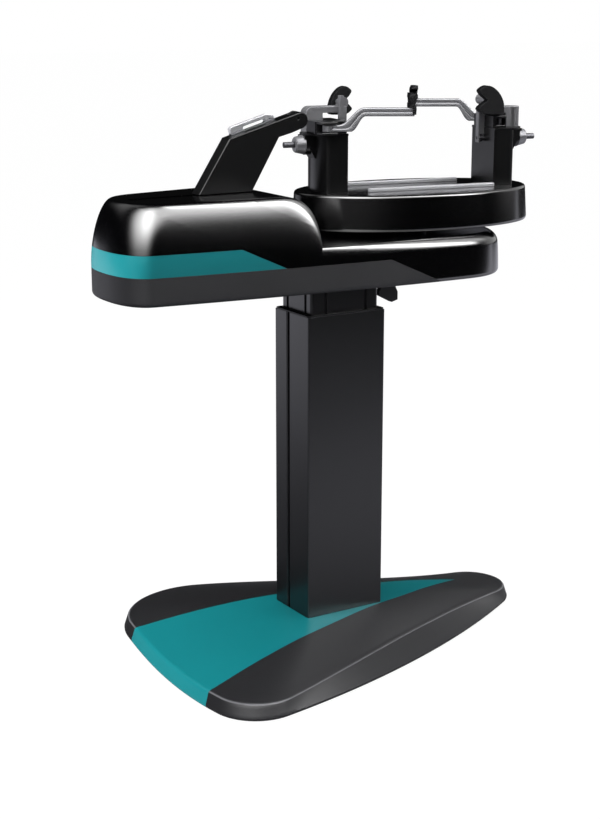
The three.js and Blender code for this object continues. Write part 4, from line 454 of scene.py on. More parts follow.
def walled(name, form, wall, cutters=()):
    """A skin with a wall on its inner side and with openings cut through it."""
    blank = bpy.data.objects.new(name, shaded(name, form))
    bpy.context.scene.collection.objects.link(blank)
    shell = blank.modifiers.new("wall", "SOLIDIFY")
    shell.thickness, shell.offset, shell.use_even_offset = wall * MM, -1, True
    for cutter in cutters:
        cut = blank.modifiers.new("opening", "BOOLEAN")
        cut.object, cut.solver = cutter, "EXACT"
    view = bpy.context.evaluated_depsgraph_get()
    whole = bpy.data.meshes.new_from_object(blank.evaluated_get(view))
    bpy.data.objects.remove(blank)
    form = bmesh.new()
    form.from_mesh(whole)
    return shaded(name, form)


def shell(name, form, wall, material, node, width=0.3, cutters=()):
    """A walled piece that stands for a CAD node, with its edges broken."""
    return bevelled(own(name, walled(name, form, wall, cutters), material, node), width)


def span(half, middle=0):
    return middle - half, middle + half


def rounded_block(x, y, radius, inset=0, steps=8):
    """The plan of a block between two places along each axis, with its corners rounded."""
    plan = []
    for i, (right, back) in enumerate(((1, 1), (0, 1), (0, 0), (1, 0))):
        start = i * math.pi / 2
        corner = (x[right] + radius * (1 - 2 * right), y[back] + radius * (1 - 2 * back))
        plan += arc(*corner, radius - inset, start, start + math.pi / 2, steps) if radius else [corner]
    return plan


def skinned(form, rings, capped=True):
    """Joins rings of vertices by faces, with a face at either end of a capped skin."""
    for one, two in zip(rings, rings[1:]):
        for i in range(len(one)):
            j = (i + 1) % len(one)
            form.faces.new((one[i], one[j], two[j], two[i]))
    if capped:
        form.faces.new(rings[0][::-1])
        form.faces.new(rings[-1])
    return form


def block_cutter(x, y, z, radius=0):
    """A cutter between two places along each axis, in millimetres, with upright corners rounded."""
    form = bmesh.new()
    plan = rounded_block(x, y, radius)
    skinned(form, [placed(form, level(plan, height)) for height in z])
    mesh = bpy.data.meshes.new("cutter")
    form.to_mesh(mesh)
    form.free()
    cutter = bpy.data.objects.new("cutter", mesh)
    bpy.context.scene.collection.objects.link(cutter)
    return cutter


# Satin black ABS: moulded grain so fine that it only softens the light along the shoulder
satin_black = coated("satin_black_abs", "#18181a", 0.46, grain=0.15, grain_mm=0.8, level=0.45, wear=0.04)
# The same plastic on the base, with a painted highlight: a lighter line all round at the
# # shoulder's height that stands in for the light along its ridge
base_black = coated("black_abs_painted_edge_highlight", "#19191b", 0.5, grain=0.15, grain_mm=0.8, level=0.45, wear=0.04,
                    painted_edge_highlight=(SHOULDER_Z - 0.6, 0.9, 0.8, "#6f6f73"))
# Teal enamel: smooth sprayed colour with a thin clear coat
teal_paint = coated("teal_enamel", "#128b92", 0.38, grain=0.08, grain_mm=1.2, coat=0.12, shade=0.05)
# Black rubber: matt and slightly grey where it is rubbed
rubber = coated("black_rubber", "#060607", 0.6, grain=0.4, grain_mm=0.9, level=0.16, wear=0.05)
# Galvanised steel: dull spangle on plates that nobody sees
steel = coated("galvanised_steel", "#7c7d80", 0.42, metallic=0.95, grain=0.15, grain_mm=0.6,
               shade=0.2, wear=0.1)

spread = (WEDGE_TIP - WEDGE_WIDE) / (WEDGE_TIP + BASE_NEAR[0])
near_line = (WEDGE_WIDE, -WEDGE_NEAR * spread)
far_line = (WEDGE_WIDE, WEDGE_FAR * spread)


def beside(line, x, y):
    """How far a place lies outside one side of the wedge, in millimetres."""
    run, fall = WEDGE_TIP - line[0], -line[1]
    side = math.copysign(1, line[1])
    return side * ((y - line[1]) * run - (x - line[0]) * fall) / math.hypot(run, fall)


def side_way(line):
    """The way straight across one side of the wedge."""
    run, fall = WEDGE_TIP - line[0], -line[1]
    return (-fall, run, 0)


def on_wedge(x, y, margin=0):
    return beside(near_line, x, y) < margin and beside(far_line, x, y) < margin


skin = lofted(base_rings())
wedge_planes = []
for line in (near_line, far_line):
    side = math.copysign(1, line[1])
    wedge_planes.append(((*line, 0), side_way(line)))
    wedge_planes.append(((line[0], line[1] + side * WEDGE_GAP, 0), side_way(line)))
parted(skin, wedge_planes)
# The skin is open below, from just over its lowest ring
open_z = BASE_FLOOR + 0.1
stripe = kept(skin, lambda x, y, z: z > open_z and on_wedge(x, y))
wings = kept(skin, lambda x, y, z: z > open_z and not on_wedge(x, y, WEDGE_GAP * 0.9))
skin.free()
opening = block_cutter(
    *(span(half + COLUMN_GAP) for half in COLUMN_HALF), OPENING_Z, COLUMN_RADIUS + COLUMN_GAP)
shell("base_wings", wings, BASE_WALL, base_black, "base_cover", cutters=[opening])
shell("base_wedge", stripe, BASE_WALL, teal_paint, "base_stripe", cutters=[opening])
bpy.data.objects.remove(opening)
refined("base_plate", steel)
for foot in ("rear_front", "rear_back", "tip_front", "tip_back"):
    refined("foot_pad_" + foot, rubber, width=0.8, steps=3)


# Lifting column. Two black anodised aluminium tubes, one in the other, with long grooves that
# come from extruding, a bolted foot flange and a plastic collar. A motor and screw lift it.
OUTER_FOOT, OUTER_TOP = 22.3, 712
OUTER_EDGE, OUTER_EDGE_STEPS = 3.5, 5
OUTER_WALL = 3
GROOVE_Y, GROOVE_HALF, GROOVE_DEPTH = 13.1, 3.8, 5.5
RIB_HALF, RIB_DEPTH = 6.5, 1.2
ROD_SIDES = 24
FLANK_SHARE, CREST_SHARE = 0.45, 0.1
LIFT_PITCH, LIFT_DEPTH = 5, 1.4

# Black anodised aluminium: a fine even satin, a little bluer and lighter where it faces light
anodised = coated("black_anodised_aluminium", "#121214", 0.3, metallic=0.1, grain=0.1, grain_mm=0.5,
                  level=0.65, wear=0.03)
# Turned steel with a film of oil: dark and bright bands round rods, bolts and screws
bright_steel = coated("bright_turned_steel", "#4a4a4d", 0.38, metallic=0.9, grain=0.05, grain_mm=0.5,
                      shade=0.06)


def column_outline():
    """The tube's outline, with a stepped groove in its left face."""
    plan = rounded_block(*(span(half) for half in COLUMN_HALF), OUTER_EDGE, steps=OUTER_EDGE_STEPS)
    face = -COLUMN_HALF[0]
    steps = ((RIB_HALF, 0), (RIB_HALF, RIB_DEPTH), (GROOVE_HALF, RIB_DEPTH), (GROOVE_HALF, GROOVE_DEPTH))
    groove = [(face + depth, GROOVE_Y + half) for half, depth in steps]
    groove += [(face + depth, GROOVE_Y - half) for half, depth in steps[::-1]]
    middle = len(plan) // 2
    return plan[:middle] + groove + plan[middle:]


tube = bmesh.new()
skinned(tube, [placed(tube, level(column_outline(), z)) for z in (OUTER_FOOT, OUTER_TOP)], capped=False)
shell("column_tube", tube, OUTER_WALL, anodised, "outer_column")
refined("inner_column", anodised, width=0.5)
refined("column_collar", satin_black)
for name in ("column_flange", "lift_motor", "lift_nut"):
    refined(name, steel)


def threaded_rod(name):
    """A tree for a threaded rod that stands on the origin: a core with a rib at each pitch."""
    tree = bpy.data.node_groups.new(name, "GeometryNodeTree")
    for size in ("Radius", "Depth", "Pitch", "Length"):
        tree.interface.new_socket(size, in_out="INPUT", socket_type="NodeSocketFloat")
    tree.interface.new_socket("Finish", in_out="INPUT", socket_type="NodeSocketMaterial")
    tree.interface.new_socket("Geometry", in_out="OUTPUT", socket_type="NodeSocketGeometry")
    sizes = add_node(tree, "NodeGroupInput").outputs
    root = add_node(tree, "ShaderNodeMath", {"operation": "SUBTRACT"}, {
        0: sizes["Radius"], 1: sizes["Depth"]})
    crest = add_node(tree, "ShaderNodeMath", {"operation": "MULTIPLY"}, {0: sizes["Depth"], 1: CREST_SHARE})
    outer = add_node(tree, "ShaderNodeMath", {"operation": "SUBTRACT"}, {0: sizes["Radius"], 1: crest})
    flank = add_node(tree, "ShaderNodeMath", {"operation": "MULTIPLY"}, {0: sizes["Pitch"], 1: FLANK_SHARE})
    half = add_node(tree, "ShaderNodeMath", {"operation": "MULTIPLY"}, {0: sizes["Length"], 1: 0.5})
    turns = add_node(tree, "ShaderNodeMath", {"operation": "DIVIDE"}, {0: sizes["Length"], 1: sizes["Pitch"]})
    count = add_node(tree, "ShaderNodeMath", {"operation": "SUBTRACT"}, {0: turns, 1: 1.0})
    middle, above, step = (
        add_node(tree, "ShaderNodeCombineXYZ", inputs={"Z": rise}) for rise in (half, flank, sizes["Pitch"]))
    core = add_node(tree, "GeometryNodeMeshCylinder", inputs={
        "Vertices": ROD_SIDES, "Radius": root, "Depth": sizes["Length"]})
    stood = add_node(tree, "GeometryNodeTransform", inputs={"Geometry": core, "Translation": middle})
    rising, falling = (
        add_node(tree, "GeometryNodeMeshCone", inputs={
            "Vertices": ROD_SIDES, "Radius Top": top, "Radius Bottom": bottom, "Depth": flank})
        for top, bottom in ((outer, root), (root, outer)))
    lifted = add_node(tree, "GeometryNodeTransform", inputs={"Geometry": falling, "Translation": above})
    rib = add_node(tree, "GeometryNodeJoinGeometry")
    for part in (rising, lifted):
        tree.links.new(part.outputs[0], rib.inputs[0])
    line = add_node(tree, "GeometryNodeMeshLine", inputs={
        "Count": count, "Start Location": step, "Offset": step})
    ribs = add_node(tree, "GeometryNodeInstanceOnPoints", inputs={"Points": line, "Instance": rib})
    whole = add_node(tree, "GeometryNodeJoinGeometry")
    for part in (stood, ribs):
        tree.links.new(part.outputs[0], whole.inputs[0])
    solid = add_node(tree, "GeometryNodeRealizeInstances", inputs={"Geometry": whole})
    dressed = add_node(tree, "GeometryNodeSetMaterial", inputs={
        "Geometry": solid, "Material": sizes["Finish"]})
    add_node(tree, "NodeGroupOutput", inputs={"Geometry": dressed})
    return tree


rod_tree = threaded_rod("threaded_rod")


def made_by(tree, name, values):
    """The plain mesh that a tree makes from its named inputs."""
    blank = bpy.data.objects.new(name, bpy.data.meshes.new(name))
    bpy.context.scene.collection.objects.link(blank)
    maker = blank.modifiers.new(name, "NODES")
    maker.node_group = tree
    for socket in tree.interface.items_tree:
        if socket.in_out == "INPUT":
            maker[socket.identifier] = values[socket.name]
    view = bpy.context.evaluated_depsgraph_get()
    mesh = bpy.data.meshes.new_from_object(blank.evaluated_get(view))
    bpy.data.objects.remove(blank)
    return mesh


def screw_between(name, node, start, end, radius, pitch, depth, replace=True):
    """A threaded rod from one place to another, in metres, on the body of a CAD node."""
    way = Vector(end) - Vector(start)
    mesh = made_by(rod_tree, name, {
        "Radius": radius * MM, "Depth": depth * MM, "Pitch": pitch * MM, "Length": way.length,
        "Finish": bright_steel})
    mesh.transform(Matrix.Translation(start) @ way.to_track_quat("Z", "Y").to_matrix().to_4x4())
    form = bmesh.new()
    form.from_mesh(mesh)
    return own(name, shaded(name, form), bright_steel, node, replace)


def screw_in_place(name, node, along, pitch, depth):
    """A threaded rod that fills its CAD node's box, along X (0) or Z (2)."""
    low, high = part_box(node)
    start, end = (low + high) / 2, (low + high) / 2
    start[along], end[along] = low[along], high[along]
    return screw_between(name, node, start, end, (high.y - low.y) / 2 / MM, pitch, depth)


screw_in_place("lift_screw_rod", "lift_screw", 2, LIFT_PITCH, LIFT_DEPTH)


# Housing. A long moulded shell in three parts: gloss black over the tension rail and the low
# part, a teal band round the left end, and a textured grey tray below.
HOUSING_LEFT, HOUSING_RIGHT = -509, 370
NOSE_LENGTH, NOSE_HALF = 58, 113
END_LENGTH, HALF_WIDTH = 140, 170
FLANK_POWER, CORNER_POWER = 1.63, 2.4
HOUSING_FLOOR, LOWER_TOP, HUMP_TOP = 777, 866, 965
LOWER_ROUND, FLOOR_ROUND = 24, 9
LOWER_SHARP = 5
HUMP_ROUND, HUMP_DRAFT = 32, 3.5
HUMP_END, HUMP_ROLL, ROLL_POWER = -113, 80, 2.9
NOSE_GROWTH = 50
END_LEAN = 9
TRAY_TOP, BAND_TOP, SEAM = 832, 874, 0.4
TRAY_END = (41, 163)
BAND_END = (-280, -190)
NOSE_STEPS, LEFT_STEPS, ROLL_STEPS, RIGHT_STEPS, END_STEPS = 24, 16, 26, 20, 34
CROWN_STEPS = 18
HOUSING_WALL = 4
SLOT, SLOT_RADIUS = ((-450, -204.7), (-9, 9)), 8.9
INNER_HALF, INNER_RADIUS = (80.5, 57.5), 7
SPINDLE_X, SPINDLE_HOLE = 200, 38.5
INLET = ((-189.3, -130.7), (90.7, 117.3))
CUT_REACH = 20
# A round hole's corners stay this much short of meeting
HOLE_FLAT = 0.01


def blunt(middle, length, half, start, end, steps):
    """A stretch of a blunt end's outline, between two angles."""
    power = 2 / CORNER_POWER
    points = []
    for i in range(steps + 1):
        turn = start + (end - start) * i / steps
        along = math.copysign(abs(math.cos(turn)) ** power, math.cos(turn))
        points.append([middle + length * along, -half * abs(math.sin(turn)) ** power])
    return points


def flank_half(x):
    """Half the housing's width left of its rounded right end, and how fast it grows."""
    nose_x, end_x = HOUSING_LEFT + NOSE_LENGTH, HOUSING_RIGHT - END_LENGTH
    left = (end_x - x) / (end_x - nose_x)
    swell = HALF_WIDTH - NOSE_HALF
    slope = swell * FLANK_POWER / (end_x - nose_x) * left ** (FLANK_POWER - 1)
    return HALF_WIDTH - swell * left ** FLANK_POWER, slope


def housing_outline(inset, longer=0):
    """The housing's plan, drawn in by inset, with a longer nose where its top rolls over."""
    nose_x, end_x = HOUSING_LEFT + NOSE_LENGTH + longer, HOUSING_RIGHT - END_LENGTH
    nose_half, slope = flank_half(nose_x)
    nose = blunt(nose_x, NOSE_LENGTH + longer - inset, nose_half - inset, math.pi, math.pi / 2, NOSE_STEPS)
    for point in nose:
        point[1] *= 1 - slope * (nose_x - point[0]) / (nose_half - inset)
    start = HUMP_END - HUMP_ROLL
    stations = [nose_x + (start - nose_x) * i / LEFT_STEPS for i in range(1, LEFT_STEPS)]
    stations += [start + HUMP_ROLL * math.sin(i / ROLL_STEPS * math.pi / 2) for i in range(ROLL_STEPS + 1)]
    stations += [HUMP_END + (end_x - HUMP_END) * i / RIGHT_STEPS for i in range(1, RIGHT_STEPS)]
    flank = [[x, inset - flank_half(x)[0]] for x in stations]
    half = nose + flank + blunt(end_x, END_LENGTH - inset, HALF_WIDTH - inset, math.pi / 2, 0, END_STEPS)
    half[0][1] = half[-1][1] = 0
    return half + [[x, -y] for x, y in half[-2:0:-1]]


def hump_share(x):
    """How much of the tall part's height the housing has: all of it left of the roll."""
    turned = min(max((x - HUMP_END + HUMP_ROLL) / HUMP_ROLL, 0), 1)
    return (1 - turned ** ROLL_POWER) ** (1 / ROLL_POWER)


def lower_round(x):
    """How far the low part's edge rolls in: sharp beside the hump, full at the right end."""
    grown = min(max((x - HUMP_END) / (HOUSING_RIGHT - END_LENGTH - HUMP_END), 0), 1)
    return LOWER_SHARP + (LOWER_ROUND - LOWER_SHARP) * grown ** 1.4


def leaned(ring):
    """The right end leans in with its height."""
    places = []
    for x, y, z in ring:
        share = min(max((x - HOUSING_RIGHT + END_LENGTH) / END_LENGTH, 0), 1)
        rise = min(max((z - HOUSING_FLOOR) / (LOWER_TOP - HOUSING_FLOOR), 0), 1)
        places.append((x - END_LEAN * share * rise ** 2, y, z))
    return places


def housing_rings():
    """The housing's skin from its floor up the side and over its crown."""
    rings = []
    for i in range(7):
        turn = i / 6 * math.pi / 2
        outline = housing_outline(FLOOR_ROUND * (1 - math.sin(turn)))
        rings.append(level(outline, HOUSING_FLOOR + FLOOR_ROUND * (1 - math.cos(turn))))
    springing = LOWER_TOP - LOWER_ROUND
    start = HOUSING_FLOOR + FLOOR_ROUND
    for share in (0.25, 0.5, 0.75, 1):
        rings.append(level(housing_outline(0), start + (springing - start) * share))
    for i in range(1, CROWN_STEPS + 1):
        turn = i / CROWN_STEPS * math.pi / 2
        rise, shift = math.sin(turn), 1 - math.cos(turn)
        low_z = springing + LOWER_ROUND * rise
        sharp, full = (level(housing_outline(size * shift), low_z) for size in (LOWER_SHARP, LOWER_ROUND))
        low = []
        for one, two in zip(sharp, full):
            share = (lower_round(one[0]) - LOWER_SHARP) / (LOWER_ROUND - LOWER_SHARP)
            low.append(tuple(a + (b - a) * share for a, b in zip(one, two)))
        outline = housing_outline(HUMP_ROUND * shift + HUMP_DRAFT * rise, NOSE_GROWTH * rise ** 2)
        tall = level(outline, springing + (HUMP_TOP - springing) * rise)
        ring = []
        for one, two in zip(low, tall):
            share = hump_share(one[0])
            ring.append(tuple(a + (b - a) * share for a, b in zip(one, two)))
        rings.append(ring)
    return [leaned(ring) for ring in rings]


def slant(ends, low, high):
    """How far a place lies right of a slanted end that runs from ends[0] at high to ends[1] at low."""
    return lambda x, z: x - ends[1] - (ends[0] - ends[1]) * (z - low) / (high - low)


past_tray = slant(TRAY_END, HOUSING_FLOOR, TRAY_TOP)
past_band = slant(BAND_END, TRAY_TOP + SEAM, BAND_TOP)


def slanted_planes(ends, low, high, grow):
    """The two planes of a slanted seam."""
    way = (high - low, 0, ends[1] - ends[0])
    return [((ends[1] + shift, 0, low), way) for shift in (0, grow)]


def on_cover(x, y, z):
    """Whether a place is beyond the tray and the band and the seams beside them."""
    beside_tray = z < TRAY_TOP + SEAM and past_tray(x, min(z, TRAY_TOP)) < SEAM
    beside_band = z < BAND_TOP + SEAM and past_band(x, max(min(z, BAND_TOP), TRAY_TOP)) < 2 * SEAM
    return not (beside_tray or beside_band)


# Gloss black ABS: deep and wet-looking, with soft wide highlights round the crown
gloss_black = coated("gloss_black_abs", "#030304", 0.2, grain=0.02, grain_mm=4, coat=0.6, level=0.9,
                     shade=0.1, wear=0.02)
# Textured grey ABS: spark-eroded grain that keeps the tray dull
grey_tray = coated("textured_grey_abs", "#171719", 0.5, grain=0.35, grain_mm=0.7)

skin = lofted(housing_rings())
seams = [((0, 0, height), (0, 0, 1)) for height in (TRAY_TOP, TRAY_TOP + SEAM, BAND_TOP, BAND_TOP + SEAM)]
seams += slanted_planes(TRAY_END, HOUSING_FLOOR, TRAY_TOP, SEAM)
seams += slanted_planes(BAND_END, TRAY_TOP + SEAM, BAND_TOP, 2 * SEAM)
parted(skin, seams)
tray = kept(skin, lambda x, y, z: z < TRAY_TOP and past_tray(x, z) < 0)
band = kept(skin, lambda x, y, z: TRAY_TOP + SEAM < z < BAND_TOP and past_band(x, z) < 0)
cover = kept(skin, on_cover)
skin.free()
top_cuts = [
    block_cutter(*SLOT, span(CUT_REACH, HUMP_TOP), SLOT_RADIUS),
    block_cutter(span(SPINDLE_HOLE, SPINDLE_X), span(SPINDLE_HOLE), span(CUT_REACH, LOWER_TOP),
                 SPINDLE_HOLE - HOLE_FLAT),
]
floor_cuts = [
    block_cutter(*(span(half + COLUMN_GAP) for half in INNER_HALF), span(CUT_REACH, HOUSING_FLOOR),
                 INNER_RADIUS + COLUMN_GAP),
    block_cutter(*INLET, span(CUT_REACH, HOUSING_FLOOR)),
]
shell("housing_cover", cover, HOUSING_WALL, gloss_black, "upper_cover", 0.25, top_cuts)
shell("housing_band", band, HOUSING_WALL, teal_paint, "teal_band", 0.15)
shell("housing_tray", tray, HOUSING_WALL, grey_tray, "lower_tray", 0.25, floor_cuts)
for cutter in top_cuts + floor_cuts:
    bpy.data.objects.remove(cutter)


# Works inside the housing. A steel chassis plate carries the guide rods, the screw drive of the
# tension head and the spindle housing with its two bearings. All of it is plain machined steel.
DRIVE_PITCH, DRIVE_DEPTH = 4, 1.1
for name in ("chassis_plate", "rail_block_left", "rail_block_right", "drive_motor", "spindle_housing",
             "head_carriage"):
    refined(name, steel)
screw_in_place("drive_screw_rod", "drive_screw", 0, DRIVE_PITCH, DRIVE_DEPTH)
for name in ("guide_rail_front", "guide_rail_back", "spindle_bearing_lower", "spindle_bearing_upper",
             "spindle"):
    refined(name, bright_steel)


# Turntable. A lens-shaped gloss black cover over a steel frame, with two round-ended alloy
# rails on top that guide the frame supports.
TABLE_TURN = -10
TABLE_BOTTOM, TABLE_TOP = 878, 950
TABLE_HALF = (260, 148)
TABLE_POWER = 2.06
TABLE_STEPS = 44
TABLE_DRAFT, TABLE_ROUND, TABLE_RIM, TABLE_RIM_HEIGHT = 4, 6, 3, 7
TABLE_WALL = 5
# A rail's edges: how far each ring is drawn in, and how far it is from the foot or the top
RAIL_FOOT = ((0.6, 0), (0, 0.6))
RAIL_TOP = ((0, 1.8), (0.25, 0.9), (0.9, 0.25), (1.8, 0))
RAIL_STEPS = 14


def turned(u, v):
    """A way along and across the turntable as one along X and Y."""
    turn = math.radians(TABLE_TURN)
    return u * math.cos(turn) - v * math.sin(turn), u * math.sin(turn) + v * math.cos(turn)


def table_place(u, v):
    """A place along and across the turntable from its spindle as one from the column's axis."""
    x, y = turned(u, v)
    return SPINDLE_X + x, y


def table_ring(inset, z):
    power = 2 / TABLE_POWER
    ring = []
    for i in range(4 * TABLE_STEPS):
        turn = i / (2 * TABLE_STEPS) * math.pi
        ways = (math.cos(turn), math.sin(turn))
        u, v = (math.copysign(abs(c) ** power, c) * (half - inset) for c, half in zip(ways, TABLE_HALF))
        ring.append((*table_place(u, v), z))
    return ring


def table_rings():
    """The cover's skin from its lower rim to the edge of its top."""
    rings = []
    for i in range(5):
        turn = i / 4 * math.pi / 2
        z = TABLE_BOTTOM + TABLE_RIM_HEIGHT * (1 - math.cos(turn))
        rings.append(table_ring(TABLE_RIM * (1 - math.sin(turn)), z))
    shoulder = TABLE_TOP - TABLE_ROUND
    rings.append(table_ring(TABLE_DRAFT, shoulder))
    for i in range(1, 9):
        turn = i / 8 * math.pi / 2
        inset = TABLE_DRAFT + TABLE_ROUND * (1 - math.cos(turn))
        rings.append(table_ring(inset, shoulder + TABLE_ROUND * math.sin(turn)))
    return rings


# Satin silver alloy: bead-blasted and clear anodised, so it shows the room as soft grey
silver = coated("satin_silver_alloy", "#868689", 0.4, metallic=0.55, grain=0.12, grain_mm=0.6, level=0.7,
                shade=0.05, wear=0.04)
# The same alloy, brushed pale on the rails where the supports slide
rail_silver = coated("brushed_rail_alloy", "#b0b0b4", 0.45, metallic=0.2, grain=0.12, grain_mm=0.6,
                     level=0.5, shade=0.05, wear=0.04)
skin = lofted(table_rings())
table = kept(skin, lambda x, y, z: z > TABLE_BOTTOM + 0.01)
skin.free()
shell("turntable_shell", table, TABLE_WALL, gloss_black, "turntable_cover")
refined("turntable_frame", steel)


def rail(name, node):
    """A round-ended bar with softened top edges, lying along the turntable."""
    low, high = (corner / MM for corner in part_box(node))
    turn = math.radians(abs(TABLE_TURN))
    wide, deep = high.x - low.x, high.y - low.y
    length = (wide * math.cos(turn) - deep * math.sin(turn)) / math.cos(2 * turn)
    width = (deep * math.cos(turn) - wide * math.sin(turn)) / math.cos(2 * turn)
    middle = (low + high) / 2 - AXIS / MM
    reach = (length - width) / 2
    edges = [(inset, low.z + rise) for inset, rise in RAIL_FOOT]
    edges += [(inset, high.z - drop) for inset, drop in RAIL_TOP]
    rings = []
    for inset, z in edges:
        plan = arc(reach, 0, width / 2 - inset, -math.pi / 2, math.pi / 2, RAIL_STEPS)
        plan += arc(-reach, 0, width / 2 - inset, math.pi / 2, 1.5 * math.pi, RAIL_STEPS)
        ways = [turned(u, v) for u, v in plan]
        rings.append([(middle.x + x, middle.y + y, z) for x, y in ways])
    form = lofted(rings)
    bmesh.ops.dissolve_degenerate(form, edges=form.edges, dist=0.0000001)
    own(name, shaded(name, form), rail_silver, node)


rail("rail_near", "clamp_rail_near")
rail("rail_far", "clamp_rail_far")


# Towers and frame supports. Two D-shaped posts in satin black carry sliding heads with alloy
# brackets, rubber pads and swinging arms, and each adjusting screw has a coned alloy knob. U and
# V run along and across the turntable from its middle, and end is -1 for what is turned round.
SCREW_Z = 1045
THREAD_ENDS, THREAD_RADIUS, THREAD_PITCH, THREAD_DEPTH = (262.6, 281), 6.15, 2.4, 0.8
HUB_PLACE, HUB_Z, HUB_RADIUS, HUB_END, HUB_LOST = (153, -45), 1126, 11, 9.3, 0.6
BAR_UNDER, BAR_RAISE, BAR_SPAN = {"left": 1102, "right": 1094}, 4, 10
# The right bracket's leg is cut across at LEG_CUT, and its faces with a middle past LEG_START go
LEG_START, LEG_CUT, LEG_U, LEG_V, LEG_CORNER = 204, 218.6036, (198.2, 235), (-34, -3), 13
LEG_RINGS = ((0.8, 1068.6), (0, 1069.4), (0, 1109.8), (0.35, 1110.65), (1.2, 1111))
# The pad's outline from its upper tip over the back to its lower tip and into the mouth
PAD_LINE = (
    (126.8, 1146.3), (135.8, 1153.5), (145.3, 1156), (157, 1152.7), (168.6, 1144.3), (177.1, 1133.6),
    (182.4, 1122.4), (184, 1114.3), (184, 1101), (182.6, 1098.4), (177, 1097.2), (148.5, 1097.2),
    (136, 1099.6), (128.6, 1104.6), (125.2, 1109.2), (131, 1115.8), (138, 1120.8), (143.2, 1123.6),
    (145.1, 1126), (143, 1128.6), (136, 1133.4), (130.5, 1139))
PAD_V, PAD_INNER, PAD_STEPS = (-54, -36.5), 122, 3
# Where each pad's inner end is, and the shares of its width and height that it has
PAD_SIZES = {"left": (117, 0.82, 0.97), "right": (PAD_INNER, 1, 1)}
ARM_START, ARM_AIM = (59.5, 121.7), math.radians(-21.6)
ARM_HALF, ARM_TOP, ARM_UNDER, EYE_TOP, EYE_UNDER = 5.5, 1121.5, 1104.5, 1087.1, 1074.3
# Places along the arm, with the share of its width there
ARM_STRAIGHT = ((-5.3, 0.35), (-4.6, 0.62), (-3, 0.86), (-1, 0.98), (1, 1), (30, 1), (60, 1), (85, 1))
# Four points of the bend, each with the place and height of the upper and of the lower edge
ARM_BEND = ((94, ARM_TOP, 91, ARM_UNDER), (111, ARM_TOP, 103, ARM_UNDER),
            (127.5, EYE_TOP, 108, EYE_UNDER), (144.5, EYE_TOP, 121, EYE_UNDER))
BEND_STEPS = 16
# Shares of the arm's height and half width round one side, with a groove half way up
ARM_SECTION = (
    (0, 0), (0, 0.7), (0.03, 0.88), (0.08, 0.97), (0.14, 1), (0.4, 1), (0.45, 0.94), (0.465, 0.7),
    (0.535, 0.7), (0.55, 0.94), (0.6, 1), (0.86, 1), (0.92, 0.97), (0.97, 0.88), (1, 0.7))
# Radius and height round the arm's eye and up the claw's pin
EYE_REACH, EYE_PLACE = 157, 166
EYE_PROFILE = ((10.4, EYE_UNDER), (11, EYE_UNDER + 0.6), (11, EYE_TOP - 0.6), (10.4, EYE_TOP),
               (4.3, EYE_TOP), (4.3, EYE_UNDER))
PIN_PROFILE = ((0.1, 1115.5), (3.9, 1115.5), (3.9, 1129.4), (0.1, 1129.4))
PROFILE_SIDES = 24
CLAW_PIN, CLAW_CUTS = (-59.5, -121.7), range(1109, 1150, 2)
# Heights on a claw, with the share of its width that it keeps there
CLAW_LEVELS = (
    (1107, 0.8), (1112, 0.8), (1118, 0.86), (1123, 0.8), (1127, 0.68), (1130, 0.74), (1134, 0.96),
    (1139, 1), (1142, 0.97), (1145, 0.84), (1148, 0.6), (1150, 0.3))

# Black powder coat: a little orange peel, deep black where it turns from the light
tower_black = coated("black_powder_coat", "#060607", 0.3, grain=0.2, grain_mm=1.6, level=0.6, wear=0.04)


def in_table(place, u, v):
    """A place relative to one in the turntable's own directions, in millimetres."""
    x, y = table_place(u, v)
    turn = math.radians(TABLE_TURN)
    across, ahead = (place.x - AXIS.x) / MM - x, (place.y - AXIS.y) / MM - y
    return across * math.cos(turn) + ahead * math.sin(turn), ahead * math.cos(turn) - across * math.sin(turn)


def shifted(vert, along, up=0):
    """Moves a vertex back along the turntable and down, in millimetres."""
    x, y = turned(along, 0)
    vert.co -= Vector((x, y, up)) * MM


def slim_hub(form, end):
    """Draws the pad's hub in to a small pin."""
    for vert in form.verts:
        u, v = in_table(vert.co, end * HUB_PLACE[0], end * HUB_PLACE[1])
        rise = vert.co.z / MM - HUB_Z
        if abs(math.hypot(u, rise) - HUB_RADIUS) < 0.3 and abs(abs(v) - HUB_END) < 1.5:
            shifted(vert, u * HUB_LOST, rise * HUB_LOST)


def raised_bar(form, under):
    """Thins the bracket's bar from below."""
    for vert in form.verts:
        rise = vert.co.z / MM - under
        if -0.1 < rise < BAR_SPAN:
            vert.co.z += BAR_RAISE * (1 - max(rise, 0) / BAR_SPAN) * MM


def on_table(form, end, places):
    """New vertices at places along and across the turntable."""
    return placed(form, [(*table_place(end * u, end * v), z) for u, v, z in places])


def drum_leg(form):
    """Replaces the leg's outer end with a post that is round in plan."""
    parted(form, [((*table_place(LEG_CUT, 0), 0), (*turned(1, 0), 0))])
    beyond = [face for face in form.faces if in_table(face.calc_center_median(), LEG_START, 0)[0] > 0.001]
    bmesh.ops.delete(form, geom=beyond, context="FACES")
    plans = [level(rounded_block(LEG_U, LEG_V, LEG_CORNER, inset), z) for inset, z in LEG_RINGS]
    skinned(form, [on_table(form, 1, plan) for plan in plans])


def smoothed(points, steps):
    """A closed curve through points."""
    line = []
    for i in range(len(points)):
        near = zip(*(points[(i + k) % len(points)] for k in (-1, 0, 1, 2)))
        bends = [(2 * b, c - a, 2 * a - 5 * b + 4 * c - d, 3 * b - a - 3 * c + d) for a, b, c, d in near]
        for j in range(steps):
            share = j / steps
            line.append(tuple(sum(part * share ** k for k, part in enumerate(bend)) / 2 for bend in bends))
    return line


